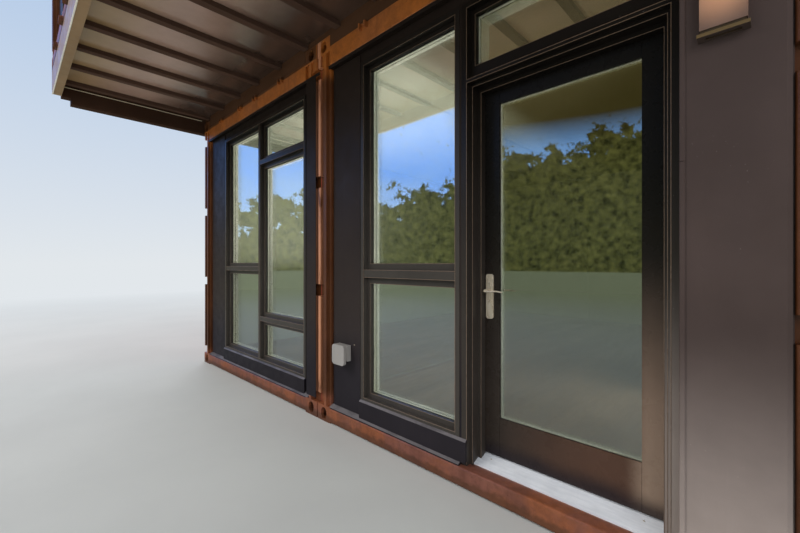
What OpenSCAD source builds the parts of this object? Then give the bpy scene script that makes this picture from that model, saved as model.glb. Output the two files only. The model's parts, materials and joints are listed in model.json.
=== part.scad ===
// House of four high-cube shipping containers on two storeys: two side by side on the
// ground with glazed front ends, and two above them that overhang the front.
// The front faces -Y. The ground is z = 0. The origin is under the middle of the outline.

/* [Container] */
// Outside length of a container
container_l = 6058; // [4500:1:12192]
// Outside width of a container
container_w = 2438; // [2400:1:2600]
// Outside height of a container
container_h = 2896; // [2850:1:3000]
// Gap between two containers side by side
pair_gap = 12; // [4:1:40]
// Length of a corner casting
casting_l = 178; // [150:1:200]
// Width of a corner casting
casting_w = 162; // [130:1:180]
// Height of a corner casting
casting_h = 118; // [100:1:140]
// Wall thickness of a corner casting
casting_wall = 24; // [10:1:30]
// Width of the slotted aperture in a casting's sides
slot_w = 51; // [40:1:60]
// Height of the slotted aperture in a casting's sides
slot_h = 79; // [70:1:85]
// Width of the slotted aperture in a casting's end face
end_slot_w = 70; // [55:1:80]
// Height of the slotted aperture in a casting's end face
end_slot_h = 86; // [81:1:92]
// Width of the aperture in a top casting's upper face
lift_w = 64; // [50:1:70]
// Length of the aperture in a top casting's upper face
lift_l = 124; // [100:1:126]
// Width of an end post, seen from the front
post_w = 144; // [110:1:160]
// Depth of an end post
post_d = 120; // [90:1:170]
// Radius of a front post's outer edge
post_edge_r = 14; // [6:1:20]
// Width of the strip along a front post's inner side that lies back
post_strip_w = 30; // [20:1:40]
// How far that strip lies behind the post's face
post_strip_in = 24; // [12:1:40]
// Start of the groove in a front post's face
groove_x = 40; // [30:1:45]
// Width of that groove
groove_w = 40; // [20:1:50]
// Depth of that groove
groove_d = 14; // [6:1:20]
// Width of a hinge recess in a front post
notch_w = 84; // [60:1:95]
// Depth of a hinge recess
notch_d = 40; // [30:1:60]
// Height of a hinge recess
notch_h = 90; // [70:1:110]
// Middle of the lowest hinge recess above the container's foot
notch_first = 156; // [140:1:200]
// Middle of the top hinge recess below the container's top
notch_last = 241; // [200:1:280]
// How far the rails stand clear of the ground and of the castings' outer faces
rail_inset = 12; // [6:1:20]
// Width of the side rails
rail_w = 60; // [40:1:80]
// Top of the orange front sill above the container's foot
sill_top = 111; // [90:1:130]
// Top of the front header below the container's top
header_drop = 85; // [60:1:110]
// Height of the front header
header_h = 143; // [110:1:170]
// Depth of the front header and sill
header_d = 100; // [60:1:150]
// Radius of the sill's upper and the header's lower front edge
rail_edge_r = 10; // [4:1:16]
// How far the lock-rod keepers stand out of the header
keeper_out = 26; // [15:1:40]
// Height of a keeper
keeper_h = 42; // [30:1:55]
// Distance of the inner keepers from the middle of the header
keeper_half_in = 170; // [120:1:240]
// Distance of the outer keepers from the middle of the header
keeper_half_out = 665; // [500:1:760]

/* [Corrugated walls] */
// Length of one wave of the wall sheet
wave_pitch = 278; // [200:1:350]
// Depth of the wave
wave_d = 36; // [20:1:50]
// Width of a wave's outer flat
wave_flat = 72; // [40:1:90]
// Thickness of insulation and lining behind the wave
lining_t = 60; // [20:1:90]

/* [Floors and roofs] */
// Finished floor above the container's foot
floor_top = 150; // [135:1:170]
// Thickness of the floor
floor_t = 30; // [15:1:32]
// Thickness of a roof with its lining
roof_t = 60; // [40:1:90]
// How far the roof lies below the tops of the rails
roof_drop = 4; // [2:1:10]
// Pitch of the roof's shallow pans
roof_pitch = 210; // [150:1:300]
// Depth of the roof's pans
roof_wave = 14; // [6:1:20]

/* [Overhang] */
// How far the upper storey stands out over the front
overhang = 1385; // [900:1:1800]
// Height of the steel deck between the storeys
deck_h = 140; // [120:1:200]
// Width of a deck beam
beam_w = 100; // [60:1:140]
// Underside of the soffit boards above the ground containers' tops
soffit_rise = 54; // [40:1:70]
// Thickness of the soffit boards
soffit_t = 12; // [6:1:16]
// Number of ribs under the soffit
rib_count = 12; // [8:1:16]
// Middle of the first rib from the left side
rib_first = 129; // [60:1:200]
// Middle of the last rib from the right side
rib_last = 48; // [40:1:200]
// Width of a soffit rib
rib_w = 60; // [40:1:90]
// Depth of a soffit rib
rib_h = 35; // [15:1:50]
// Thickness of the front edge beam, front to back
edge_beam_t = 70; // [50:1:110]
// How far the front edge beam hangs below the soffit boards
edge_beam_drop = 120; // [60:1:160]
// How far the side brackets hang below the soffit boards
bracket_drop = 177; // [120:1:260]
// Length of the side brackets behind the front
bracket_back = 2400; // [1500:1:3500]
// Width of the side brackets
bracket_w = 90; // [60:1:120]
// Length of the side brackets' shallow nose behind the front beam
bracket_nose = 72; // [40:1:120]
// Depth of the dark ledger over the header, front to back
ledger_back = 60; // [40:1:80]
// How far the ledger's upper part lies back
ledger_step = 10; // [4:1:20]

/* [Front infill] */
// How far the infill lies behind the front of the posts
infill_setback = 45; // [35:1:60]
// Thickness of the infill wall
infill_t = 150; // [110:1:160]
// Start of the flashing behind the front of the posts
flashing_front = 4; // [2:1:10]
// Height of the flashing's front edge
flashing_lip = 7; // [4:1:12]
// Rise of the flashing from the front sill to the infill
flashing_rise = 29; // [20:1:50]
// Top of the apron panels under the windows above the container's foot
apron_top = 252; // [245:1:280]
// How far the apron panels stand out of the window frames
apron_out = 15; // [8:1:20]
// How far the side panels' outer edge slopes back, seen from the front
panel_bevel = 26; // [10:1:40]
// Gap between a side panel and the window frame
panel_gap = 6; // [3:1:12]
// Height of the drip trim under the header
drip_h = 23; // [16:1:40]
// How far the drip trim stands out of the header
drip_out = 2; // [1:1:10]
// How far the left bay's drip trim runs on past the gap between the containers
drip_run_on = 35; // [20:1:60]
// How far the cover plate on the left bay's right post stays back from the post's edge
cover_back = 12; // [6:1:30]
// Thickness of that plate
cover_t = 3; // [2:1:6]
// Foot of that plate above the ground
cover_z = 150; // [120:1:200]
// Width of the strip between the slim window and the door frame
joint_w = 14; // [8:1:20]

/* [Windows] */
// Underside of the windows above the container's foot
window_bottom = 240; // [190:1:300]
// Top of the windows below the header
window_top_gap = 82; // [60:1:110]
// How far a window frame stands proud of the infill
frame_proud = 10; // [4:1:20]
// Depth of the window frames
frame_d = 100; // [80:1:140]
// Width of a frame member
frame_w = 31; // [25:1:50]
// Width of the glazing bead inside a frame member
bead_w = 29; // [20:1:50]
// How far the bead lies behind the frame's face
bead_setback = 38; // [15:1:45]
// How far the glass lies behind the frame's face
glass_setback = 66; // [55:1:80]
// Thickness of a glass unit
glass_t = 24; // [16:1:30]
// Wide window's distance from the container's left side
wide_window_left = 538; // [400:1:700]
// Wide window's distance from the container's right side
wide_window_right = 220; // [180:1:300]
// Slim window's distance from the container's left side
slim_window_left = 475; // [350:1:600]
// Width of the wide window's mullion between its panes
mullion_w = 90; // [70:1:120]
// Height of the wide window's rails between their panes
wide_rail_h = 116; // [90:1:150]
// Height of the slim window's rail between its panes
slim_rail_h = 138; // [100:1:160]
// Share of a rail's height that stands proud as a band
band_share = 0.39; // [0.3:0.01:0.5]
// How far a rail's band lies behind the frame's face
band_setback = 3; // [1:1:10]
// Middle of the slim window's rail above the container's foot
slim_rail_z = 1124; // [900:1:1400]
// Middle of the left column's rail above the container's foot
left_rail_z = 1143; // [900:1:1400]
// Middle of the right column's lower rail above the container's foot
low_rail_z = 660; // [550:1:900]
// Middle of the right column's upper rail below the container's top
high_rail_drop = 719; // [600:1:900]

/* [Entrance door] */
// Width of the door leaf
leaf_w = 845; // [760:1:860]
// Underside of the door leaf above the container's foot
leaf_bottom = 158; // [155:1:190]
// Top of the door leaf below the container's top
leaf_drop = 770; // [700:1:880]
// Thickness of the door leaf
leaf_t = 45; // [38:1:55]
// Width of the leaf's stiles
stile_w = 92; // [70:1:120]
// Height of the leaf's bottom rail
bottom_rail_leaf_h = 205; // [120:1:260]
// Height of the leaf's top rail
top_rail_leaf_h = 76; // [60:1:140]
// Width of the fine joint between the leaf's stiles and rails
leaf_joint_w = 1.5; // [1:0.5:3]
// Gap round the leaf
leaf_gap = 5; // [4:1:8]
// Width of a door jamb beside the leaf
jamb_w = 57.5; // [50:0.5:80]
// Width of the jamb's face
jamb_face_w = 34; // [25:1:45]
// Depth of the jamb's face
jamb_face_d = 33; // [20:1:45]
// Width of the jamb's middle step
jamb_step_w = 50; // [46:1:56]
// Depth of the jamb's face and its middle step together
jamb_step_d = 85; // [60:1:95]
// How far the door stop stands into the opening
stop_lap = 12.5; // [8:0.5:18]
// Gap between the leaf and its stop
stop_gap = 5; // [5:1:8]
// How far the leaf lies behind the frame's face
leaf_setback = 130; // [110:1:150]
// Height of the transom bar's face
transom_face_h = 20; // [12:1:40]
// Height of the transom bar's bead over its face
transom_bead_h = 78; // [30:1:90]
// Reach of the threshold in front of the leaf
threshold_reach = 85; // [60:1:95]
// Radius of the hinge barrels
barrel_r = 8; // [6:1:9]
// Height of a hinge barrel
barrel_h = 100; // [80:1:130]

/* [Door furniture] */
// Lever's spindle above the container's foot
lever_z = 1046; // [950:1:1100]
// Lever's spindle from the leaf's free edge
lever_backset = 36; // [34:1:44]
// Running gap round the spindle and the hinge pins
running_gap = 0.3; // [0.2:0.05:0.5]
// Length of the lever's grip
lever_l = 103; // [90:1:140]
// Radius of the lever's bar
lever_r = 6; // [5:1:9]
// How much thicker the lever's hub is than its bar
lever_hub = 3; // [1:0.5:4]
// How far the grip bows down between its ends
lever_bow = 5; // [2:0.5:12]
// Distance of the grip from the leaf
lever_reach = 52; // [45:1:65]
// Length of the handle plate
plate_l = 243; // [200:1:300]
// Width of the handle plate
plate_w = 44; // [36:1:50]
// Radius of the plate's corners
plate_r = 14; // [6:1:18]
// Thickness of the handle plate
plate_t = 9; // [6:1:12]
// Height of the spindle above the plate's middle
lever_above = 32; // [20:1:60]
// Key cylinder below the plate's middle
key_below = 26; // [20:1:60]

/* [Front fittings] */
// Width of the flat corner panel
corner_panel_w = 282; // [240:1:300]
// Thickness of the corner panel
corner_panel_t = 14; // [8:1:20]
// Width of the bead along the corner panel's left side
corner_bead_w = 18; // [12:1:30]
// How far that bead stands out of the panel
corner_bead_out = 6; // [3:1:12]
// Width of the fold along the corner panel's right side
corner_fold_w = 12; // [6:1:20]
// Height of the joint in the corner panel's bead
corner_joint_z = 1550; // [1300:1:1800]
// Width of the end post beside the corner panel
end_post_w = 100; // [60:1:140]
// Gap between the corner panel and the end post
end_post_gap = 4; // [2:1:20]
// Wall light's distance from the corner panel's left side
light_x = 60; // [30:1:100]
// Width of the wall light
light_w = 122; // [90:1:140]
// Height of the wall light
light_h = 300; // [200:1:400]
// Depth of the wall light
light_d = 40; // [36:1:80]
// Underside of the wall light above the ground
light_z = 1946; // [1800:1:2100]
// Outlet cover's distance from the container's left side
outlet_x = 230; // [180:1:300]
// Width of the outlet cover
outlet_w = 140; // [90:1:160]
// Height of the outlet cover
outlet_h = 143; // [100:1:180]
// Depth of the outlet cover with its box
outlet_d = 66; // [50:1:90]
// Underside of the outlet cover above the ground
outlet_z = 470; // [400:1:600]
// Depth of the outlet's hood
outlet_hood_d = 20; // [16:1:36]
// Depth of the gap between the outlet's hood and its box
outlet_gap_d = 13; // [4:1:16]
// How far the hood hangs below the box
outlet_hang = 28; // [10:1:40]
// Radius of the hood's corners
outlet_r = 24; // [10:1:30]

/* [Hidden] */
$fn = 48;
eps = 1;

// Whole outline, which the origin is centred on
x_left = -pair_gap / 2 - container_w - bracket_w;
x_right = pair_gap / 2 + container_w - post_w + corner_panel_w + end_post_gap + end_post_w;
origin_x = (x_left + x_right) / 2;
origin_y = (container_l - overhang - keeper_out) / 2;

// Container places
left_x = -pair_gap / 2 - container_w;
right_x = pair_gap / 2;
upper_z = container_h + deck_h;

// Heights that both storeys share, above a container's foot
header_top = container_h - header_drop;
header_bottom = header_top - header_h;
roof_top = container_h - rail_inset / 2 - roof_drop;
wall_top = roof_top - roof_t;
soffit_z = container_h + soffit_rise;

// Front windows, measured from a container's left side
frame_y = infill_setback - frame_proud;
window_top = header_bottom - window_top_gap;
wide_x0 = wide_window_left;
wide_x1 = container_w - wide_window_right;
mullion_x = (wide_x0 + wide_x1) / 2;
high_rail_z = container_h - high_rail_drop;
glass_in = frame_w + bead_w;
groove = bead_w / 2;
glass_play = 0.3;
flashing_top = sill_top + flashing_rise;

// Entrance door, measured from the right container's left side
door_unit_w = leaf_w + 2 * leaf_gap + 2 * jamb_w;
door_x1 = container_w - post_w;
door_x0 = door_x1 - door_unit_w;
slim_x0 = slim_window_left;
slim_x1 = door_x0 - joint_w;
leaf_y = frame_y + leaf_setback;
leaf_x0 = door_x0 + jamb_w + leaf_gap;
leaf_x1 = leaf_x0 + leaf_w;
leaf_top = container_h - leaf_drop;
leaf_h = leaf_top - leaf_bottom;
opening_top = leaf_top + leaf_gap;
transom_face_z = opening_top + jamb_w - jamb_face_w;
hinge_x = leaf_x1 + leaf_gap / 2;
hinge_y = leaf_y + leaf_t + barrel_r + 2;
lever_x = leaf_x0 + lever_backset;

// Moves a piece from the front middle of the ground storey to the origin
module place() {
    translate([-origin_x, -origin_y, 0]) children();
}

// Puts the same piece at both containers of the ground storey
module ground_pair() {
    for (x = [left_x, right_x]) translate([x, 0, 0]) children();
}

// Puts the same piece at both containers of the upper storey
module upper_pair() {
    for (x = [left_x, right_x]) translate([x, -overhang, upper_z]) children();
}

// Cuts an upright slot with round ends through a casting's face, along Y
module end_slot(w, h, d) {
    rotate([90, 0, 0]) linear_extrude(height = d, center = true) union() {
        square([w, h - w], center = true);
        translate([0, (h - w) / 2]) circle(d = w);
        translate([0, -(h - w) / 2]) circle(d = w);
    }
}

// Hollow corner casting with its corner at the origin, growing along +X, +Y and +Z.
// up is 1 on a top casting and 0 on a bottom one.
module casting(up) {
    difference() {
        cube([casting_w, casting_l, casting_h]);
        translate([casting_wall, casting_wall, casting_wall])
            cube([casting_w - 2 * casting_wall, casting_l - 2 * casting_wall, casting_h - 2 * casting_wall]);
        translate([casting_w / 2, casting_wall / 2, casting_h / 2])
            end_slot(end_slot_w, end_slot_h, casting_wall + 2 * eps);
        translate([casting_wall / 2, casting_l / 2, casting_h / 2])
            rotate([0, 0, 90]) end_slot(slot_w, slot_h, casting_wall + 2 * eps);
        if (up == 1) translate([casting_w / 2, casting_l / 2, casting_h - casting_wall / 2])
            rotate([90, 0, 0]) end_slot(lift_w, lift_l, casting_wall + 2 * eps);
    }
}

// Four castings of one end, mirrored to both sides and to top and bottom
module end_castings() {
    for (side = [0, 1]) {
        translate([side * container_w, 0, 0]) mirror([side, 0, 0]) {
            casting(0);
            translate([0, 0, container_h - casting_h]) casting(1);
        }
    }
}

// The four recesses that a front post has for the hinges of the container's own doors
module hinge_recesses() {
    step = (container_h - notch_first - notch_last) / 3;
    for (i = [0:3])
        translate([-eps, -eps, notch_first + i * step - notch_h / 2]) cube([notch_w + eps, notch_d, notch_h]);
}

// Front end post with its rounded outer edge, groove and hinge recesses
module front_post() {
    face_w = post_w - post_strip_w;
    difference() {
        translate([0, 0, casting_h]) linear_extrude(height = container_h - 2 * casting_h) difference() {
            union() {
                translate([post_edge_r, post_edge_r]) circle(r = post_edge_r);
                translate([post_edge_r, 0]) square([face_w - post_edge_r, post_d]);
                translate([0, post_edge_r]) square([post_edge_r + eps, post_d - post_edge_r]);
                translate([face_w, post_strip_in]) square([post_strip_w, post_d - post_strip_in]);
            }
            translate([groove_x, -eps]) square([groove_w, groove_d + eps]);
        }
        hinge_recesses();
    }
}

// Front end of a container: posts, castings, header and sill.
// sill_keepers is 1 where the keepers also show on the sill.
module front_frame(sill_keepers) {
    between = container_w - 2 * casting_w;
    end_castings();
    front_post();
    translate([container_w, 0, 0]) mirror([1, 0, 0]) front_post();
    translate([casting_w, 0, header_top]) mirror([0, 0, 1]) rounded_rail(between, header_h);
    translate([casting_w, ledger_back, header_bottom])
        cube([between, header_d - ledger_back, container_h - rail_inset / 2 - header_bottom]);
    for (side = [0, 1]) translate([side * container_w, 0, 0]) mirror([side, 0, 0])
        translate([post_w, post_strip_in, header_bottom])
            cube([casting_w - post_w + eps, header_d - post_strip_in, header_h]);
    translate([casting_w, 0, rail_inset]) rounded_rail(between, sill_top - rail_inset);
    for (dx = [-keeper_half_out, -keeper_half_in, keeper_half_in, keeper_half_out])
        translate([container_w / 2 + dx, 0, 0]) {
            translate([0, 0, header_top - keeper_h]) keeper();
            if (sill_keepers == 1) translate([0, 0, rail_inset + keeper_h]) mirror([0, 0, 1]) keeper();
        }
}

// Rail along X whose upper front edge is rounded
module rounded_rail(length, height) {
    r = rail_edge_r;
    rotate([90, 0, 90]) linear_extrude(height = length) union() {
        translate([r, height - r]) circle(r = r);
        square([header_d, height - r]);
        translate([r, 0]) square([header_d - r, height]);
    }
}

// Cam keeper that held a door's lock rod: two ears and a bridge
module keeper() {
    ear_t = 12;
    half_w = 34;
    for (x = [-half_w, half_w - ear_t]) translate([x, -keeper_out, 0])
        cube([ear_t, keeper_out + eps, keeper_h]);
    translate([-half_w, -10, keeper_h - 12]) cube([2 * half_w, 10 + eps, 12]);
}

// Rear end of a container: posts, castings, header and sill, at its far end
module rear_frame() {
    translate([0, container_l, 0]) mirror([0, 1, 0]) {
        end_castings();
        for (side = [0, 1]) translate([side * container_w, 0, 0]) mirror([side, 0, 0])
            translate([rail_inset / 2, rail_inset / 2, casting_h])
                cube([post_w - rail_inset / 2, post_d - rail_inset / 2, container_h - 2 * casting_h]);
        translate([casting_w, rail_inset, container_h - casting_h])
            cube([container_w - 2 * casting_w, post_d - rail_inset, casting_h - rail_inset / 2]);
        translate([casting_w, rail_inset, rail_inset])
            cube([container_w - 2 * casting_w, post_d - rail_inset, floor_top - rail_inset]);
    }
}

// Outline of a corrugated wall in plan: waves on the side y = 0, flat at the back
module wave_outline(length) {
    count = floor(length / wave_pitch);
    start = (length - count * wave_pitch) / 2;
    slope = (wave_pitch - 2 * wave_flat) / 2;
    polygon(concat(
        [[0, wave_d + lining_t], [0, 0]],
        [for (i = [0:count - 1], p = [
            [wave_flat / 2, 0], [wave_flat / 2 + slope, wave_d],
            [wave_flat / 2 + slope + wave_flat, wave_d], [wave_flat / 2 + 2 * slope + wave_flat, 0]
        ]) [start + i * wave_pitch + p[0], p[1]]],
        [[length, 0], [length, wave_d + lining_t]]
    ));
}

// Side wall of a container on its left side, between its end posts, with its rails
module side_wall() {
    difference() {
        translate([rail_inset / 2, post_d, floor_top]) mirror([1, 0, 0]) rotate([0, 0, 90])
            linear_extrude(height = wall_top - floor_top) wave_outline(container_l - 2 * post_d);
        for (y = [0, container_l - casting_l]) translate([-eps, y, container_h - casting_h])
            cube([casting_w + eps, casting_l, casting_h]);
    }
    side_rails();
}

// Top and bottom rails along a container's left side, between its castings
module side_rails() {
    translate([rail_inset / 2, casting_l, wall_top])
        cube([rail_w, container_l - 2 * casting_l, container_h - rail_inset / 2 - wall_top]);
    translate([rail_inset / 2, casting_l, rail_inset])
        cube([rail_w, container_l - 2 * casting_l, floor_top - rail_inset]);
}

// Rails along the joint between two containers, with the strips that close the gap
module middle_rails() {
    seam_in = notch_d;
    translate([right_x, 0, 0]) side_rails();
    translate([left_x + container_w, 0, 0]) mirror([1, 0, 0]) side_rails();
    translate([-pair_gap / 2, 0, 0]) {
        for (y = [seam_in, container_l - post_d]) translate([0, y, rail_inset])
            cube([pair_gap, post_d - seam_in, container_h - rail_inset * 3 / 2]);
        translate([0, post_d - eps, floor_top - floor_t])
            cube([pair_gap, container_l - 2 * post_d + 2 * eps, floor_t]);
        translate([0, post_d - eps, wall_top])
            cube([pair_gap, container_l - 2 * post_d + 2 * eps, container_h - rail_inset / 2 - wall_top]);
    }
}

// Closed rear wall of a container, between its rear posts
module rear_wall() {
    width = container_w - 2 * post_w;
    translate([post_w + width, container_l - post_d + wave_d + lining_t, floor_top])
        rotate([0, 0, 180]) linear_extrude(height = container_h - casting_h - floor_top)
            wave_outline(width);
}

// Floor of a container, between its rails
module container_floor() {
    front = infill_setback + infill_t;
    translate([rail_w + rail_inset / 2, front, floor_top - floor_t])
        cube([container_w - 2 * rail_w - rail_inset, container_l - front - post_d, floor_t]);
}

// Roof of a container: shallow pans across, on its lining
module container_roof() {
    length = container_l - 2 * casting_l;
    count = floor(length / roof_pitch);
    start = (length - count * roof_pitch) / 2;
    slope = roof_pitch / 7;
    translate([casting_w, header_d, wall_top])
        cube([container_w - 2 * casting_w, casting_l - header_d + eps, roof_t]);
    translate([casting_w, container_l - casting_l - eps, wall_top])
        cube([container_w - 2 * casting_w, casting_l - post_d + eps, roof_t]);
    translate([rail_w + rail_inset / 2, casting_l, roof_top]) rotate([90, 0, 90])
        linear_extrude(height = container_w - 2 * rail_w - rail_inset) polygon(concat(
            [[0, -roof_t], [0, 0]],
            [for (i = [0:count - 1], p = [[1, 0], [2, -roof_wave], [5, -roof_wave], [6, 0]])
                [start + i * roof_pitch + p[0] * slope, p[1]]],
            [[length, 0], [length, -roof_t]]
        ));
}

// Opening of a pane and the groove for its glass, cut through a frame of the depth d.
// A pane is [x0, x1, z0, z1].
module pane_cut(p, d) {
    translate([p[0], -eps, p[2]]) cube([p[1] - p[0], d + 2 * eps, p[3] - p[2]]);
    translate([p[0] - groove, glass_setback, p[2] - groove])
        cube([p[1] - p[0] + 2 * groove, glass_t, p[3] - p[2] + 2 * groove]);
}

// Glass of one pane, a hair inside the groove that pane_cut makes for it
module pane_glass(p) {
    in = groove - glass_play;
    translate([p[0] - in, glass_setback + glass_play, p[2] - in])
        cube([p[1] - p[0] + 2 * in, glass_t - 2 * glass_play, p[3] - p[2] + 2 * in]);
}

// Panes of the wide window: two in its left column and three in its right one
function wide_panes() = let (
    h = wide_rail_h / 2, m = mullion_w / 2, z0 = window_bottom + glass_in, z1 = window_top - glass_in
) [
    [wide_x0 + glass_in, mullion_x - m, z0, left_rail_z - h],
    [wide_x0 + glass_in, mullion_x - m, left_rail_z + h, z1],
    [mullion_x + m, wide_x1 - glass_in, z0, low_rail_z - h],
    [mullion_x + m, wide_x1 - glass_in, low_rail_z + h, high_rail_z - h],
    [mullion_x + m, wide_x1 - glass_in, high_rail_z + h, z1]
];

// Bands on the wide window's rails and mullion as [x0, x1, middle height, height]
function wide_bands() = let (m = mullion_w * band_share / 2, h = wide_rail_h * band_share) [
    [wide_x0 + frame_w, mullion_x, left_rail_z, h],
    [mullion_x, wide_x1 - frame_w, low_rail_z, h],
    [mullion_x, wide_x1 - frame_w, high_rail_z, h],
    [mullion_x - m, mullion_x + m, (window_bottom + window_top) / 2, window_top - window_bottom]
];

// Panes of the slim window
function slim_panes() = let (h = slim_rail_h / 2) [
    [slim_x0 + glass_in, slim_x1 - glass_in, window_bottom + glass_in, slim_rail_z - h],
    [slim_x0 + glass_in, slim_x1 - glass_in, slim_rail_z + h, window_top - glass_in]
];

// Band on the slim window's rail
function slim_bands() = [[slim_x0 + frame_w, slim_x1 - frame_w, slim_rail_z, slim_rail_h * band_share]];

// Pane over the door
function transom_pane() = [
    door_x0 + jamb_face_w + bead_w, door_x1 - jamb_face_w - bead_w,
    transom_face_z + transom_face_h + transom_bead_h, window_top - glass_in
];

// Window frame with a stepped reveal, open at its panes, with a proud band on each rail
module window_frame(x0, x1, panes, bands) {
    height = window_top - window_bottom;
    translate([0, frame_y, 0]) difference() {
        translate([x0, 0, window_bottom]) cube([x1 - x0, frame_d, height]);
        difference() {
            translate([x0 + frame_w, -eps, window_bottom + frame_w])
                cube([x1 - x0 - 2 * frame_w, bead_setback + eps, height - 2 * frame_w]);
            for (b = bands) translate([b[0] - eps, band_setback, b[2] - b[3] / 2])
                cube([b[1] - b[0] + 2 * eps, bead_setback, b[3]]);
        }
        for (p = panes) pane_cut(p, frame_d);
    }
}

module window_glass(panes) {
    translate([0, frame_y, 0]) for (p = panes) pane_glass(p);
}

// Whole front of a bay between the posts, stepped over the castings at its foot. Its lining
// reaches behind the posts to the side walls, and behind the header to the ceiling.
module bay_front() {
    back = infill_setback + infill_t;
    side = rail_inset / 2 + wave_d + lining_t;
    translate([casting_w, infill_setback, sill_top])
        cube([container_w - 2 * casting_w, infill_t, header_bottom - sill_top]);
    translate([post_w, infill_setback, casting_h])
        cube([container_w - 2 * post_w, infill_t, header_bottom - casting_h]);
    translate([side, post_d, floor_top])
        cube([container_w - 2 * side, back - post_d, header_bottom - floor_top]);
    translate([casting_w, header_d, header_bottom - eps])
        cube([container_w - 2 * casting_w, back - header_d, wall_top - header_bottom + eps]);
}

// Infill wall round the wide window: beside it, under it and over it
module wide_infill() {
    difference() {
        bay_front();
        translate([wide_x0, infill_setback - eps, window_bottom])
            cube([wide_x1 - wide_x0, infill_t + 2 * eps, window_top - window_bottom]);
    }
}

// Height of the flashing's slope above the container's foot, at the depth y
function flashing_z(y) = sill_top + flashing_lip
    + (flashing_rise - flashing_lip) * (y - flashing_front) / (infill_setback - flashing_front);

// Flashing on the front sill from x0 to x1, stepped over the castings
module flashing(x0, x1) {
    difference() {
        translate([x0, 0, 0]) rotate([90, 0, 90]) linear_extrude(height = x1 - x0) polygon([
            [flashing_front, sill_top], [infill_setback, sill_top], [infill_setback, flashing_top],
            [flashing_front, sill_top + flashing_lip]
        ]);
        for (x = [0, container_w - casting_w])
            translate([x, -eps, 0]) cube([casting_w, casting_l, casting_h]);
    }
}

// Apron panel from x0 to x1, in front of the foot of the window frames
module apron(x0, x1) {
    y0 = frame_y - apron_out;
    bevel = 12;
    translate([x0, 0, 0]) rotate([90, 0, 90]) linear_extrude(height = x1 - x0) polygon([
        [frame_y, flashing_z(frame_y)], [frame_y, apron_top], [y0 + bevel, apron_top],
        [y0, apron_top - bevel], [y0, flashing_z(y0)]
    ]);
}

// Flat panel beside a window, level with the window's frame, with its outer edge sloped back.
// It spans x0 to x1, and x0 is the sloped side.
module side_panel(x0, x1) {
    translate([0, 0, flashing_top]) linear_extrude(height = header_bottom - drip_h - flashing_top) polygon([
        [x0, infill_setback], [x0 + panel_bevel, frame_y], [x1, frame_y], [x1, infill_setback]
    ]);
}

// Drip trim under the header, from its face back to the infill
module drip_trim() {
    z0 = header_bottom - drip_h;
    lip = 6;
    translate([post_w, 0, 0]) rotate([90, 0, 90]) linear_extrude(height = container_w - 2 * post_w) polygon([
        [-drip_out, header_bottom], [-drip_out, z0], [-drip_out + lip, z0], [-drip_out + lip, z0 + lip],
        [infill_setback, z0 + 2 * lip], [infill_setback, header_bottom]
    ]);
}

module ground_left_front_frame() {
    color([0.55, 0.24, 0.07]) place() translate([left_x, 0, 0]) front_frame(0);
}

module ground_right_front_frame() {
    color([0.55, 0.24, 0.07]) place() translate([right_x, 0, 0]) front_frame(0);
}

module ground_rear_frames() {
    color([0.6, 0.25, 0.12]) place() ground_pair() rear_frame();
}

module ground_left_wall() {
    color([0.66, 0.26, 0.15]) place() translate([left_x, 0, 0]) side_wall();
}

module ground_right_wall() {
    color([0.66, 0.26, 0.15]) place() translate([right_x + container_w, 0, 0]) mirror([1, 0, 0]) side_wall();
}

module ground_rear_walls() {
    color([0.66, 0.26, 0.15]) place() ground_pair() rear_wall();
}

module ground_middle_rails() {
    color([0.6, 0.25, 0.12]) place() middle_rails();
}

module ground_floors() {
    color([0.5, 0.36, 0.24]) place() difference() {
        ground_pair() container_floor();
        translate([right_x + door_x0, 0, 0]) cube([door_unit_w, leaf_y + leaf_t, floor_top + eps]);
    }
}

module ground_roofs() {
    color([0.6, 0.25, 0.15]) place() ground_pair() container_roof();
}

module upper_front_frames() {
    color([0.5, 0.2, 0.1]) place() upper_pair() front_frame(1);
}

module upper_rear_frames() {
    color([0.6, 0.25, 0.12]) place() upper_pair() rear_frame();
}

module upper_left_wall() {
    color([0.66, 0.26, 0.15]) place() translate([left_x, -overhang, upper_z]) side_wall();
}

module upper_right_wall() {
    color([0.66, 0.26, 0.15]) place()
        translate([right_x + container_w, -overhang, upper_z]) mirror([1, 0, 0]) side_wall();
}

module upper_rear_walls() {
    color([0.66, 0.26, 0.15]) place() upper_pair() rear_wall();
}

module upper_middle_rails() {
    color([0.6, 0.25, 0.12]) place() translate([0, -overhang, upper_z]) middle_rails();
}

module upper_floors() {
    color([0.5, 0.36, 0.24]) place() upper_pair() container_floor();
}

module upper_roofs() {
    color([0.6, 0.25, 0.15]) place() upper_pair() container_roof();
}

// Long beams under the sides of the upper containers, cut back where they overhang
module deck_beams() {
    front = edge_beam_t - overhang;
    back = container_l - overhang;
    coped = soffit_rise + soffit_t;
    color([0.3, 0.31, 0.32]) place()
        for (x = [left_x, left_x + container_w - beam_w, right_x, right_x + container_w - beam_w])
            translate([x, 0, container_h]) rotate([90, 0, 90]) linear_extrude(height = beam_w) polygon([
                [front, coped], [ledger_back, coped], [ledger_back, 0],
                [back, 0], [back, deck_h], [front, deck_h]
            ]);
}

// Brackets outside both sides that carry the overhang back along the ground containers
module side_brackets() {
    front = edge_beam_t - overhang;
    color([0.1, 0.08, 0.07]) place() for (x = [left_x - bracket_w, right_x + container_w])
        translate([x, 0, soffit_z]) rotate([90, 0, 90]) linear_extrude(height = bracket_w) polygon([
            [front, 0], [front, -edge_beam_drop], [front + bracket_nose, -edge_beam_drop],
            [front + bracket_nose, -bracket_drop], [bracket_back, -bracket_drop], [bracket_back, 0]
        ]);
}

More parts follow.
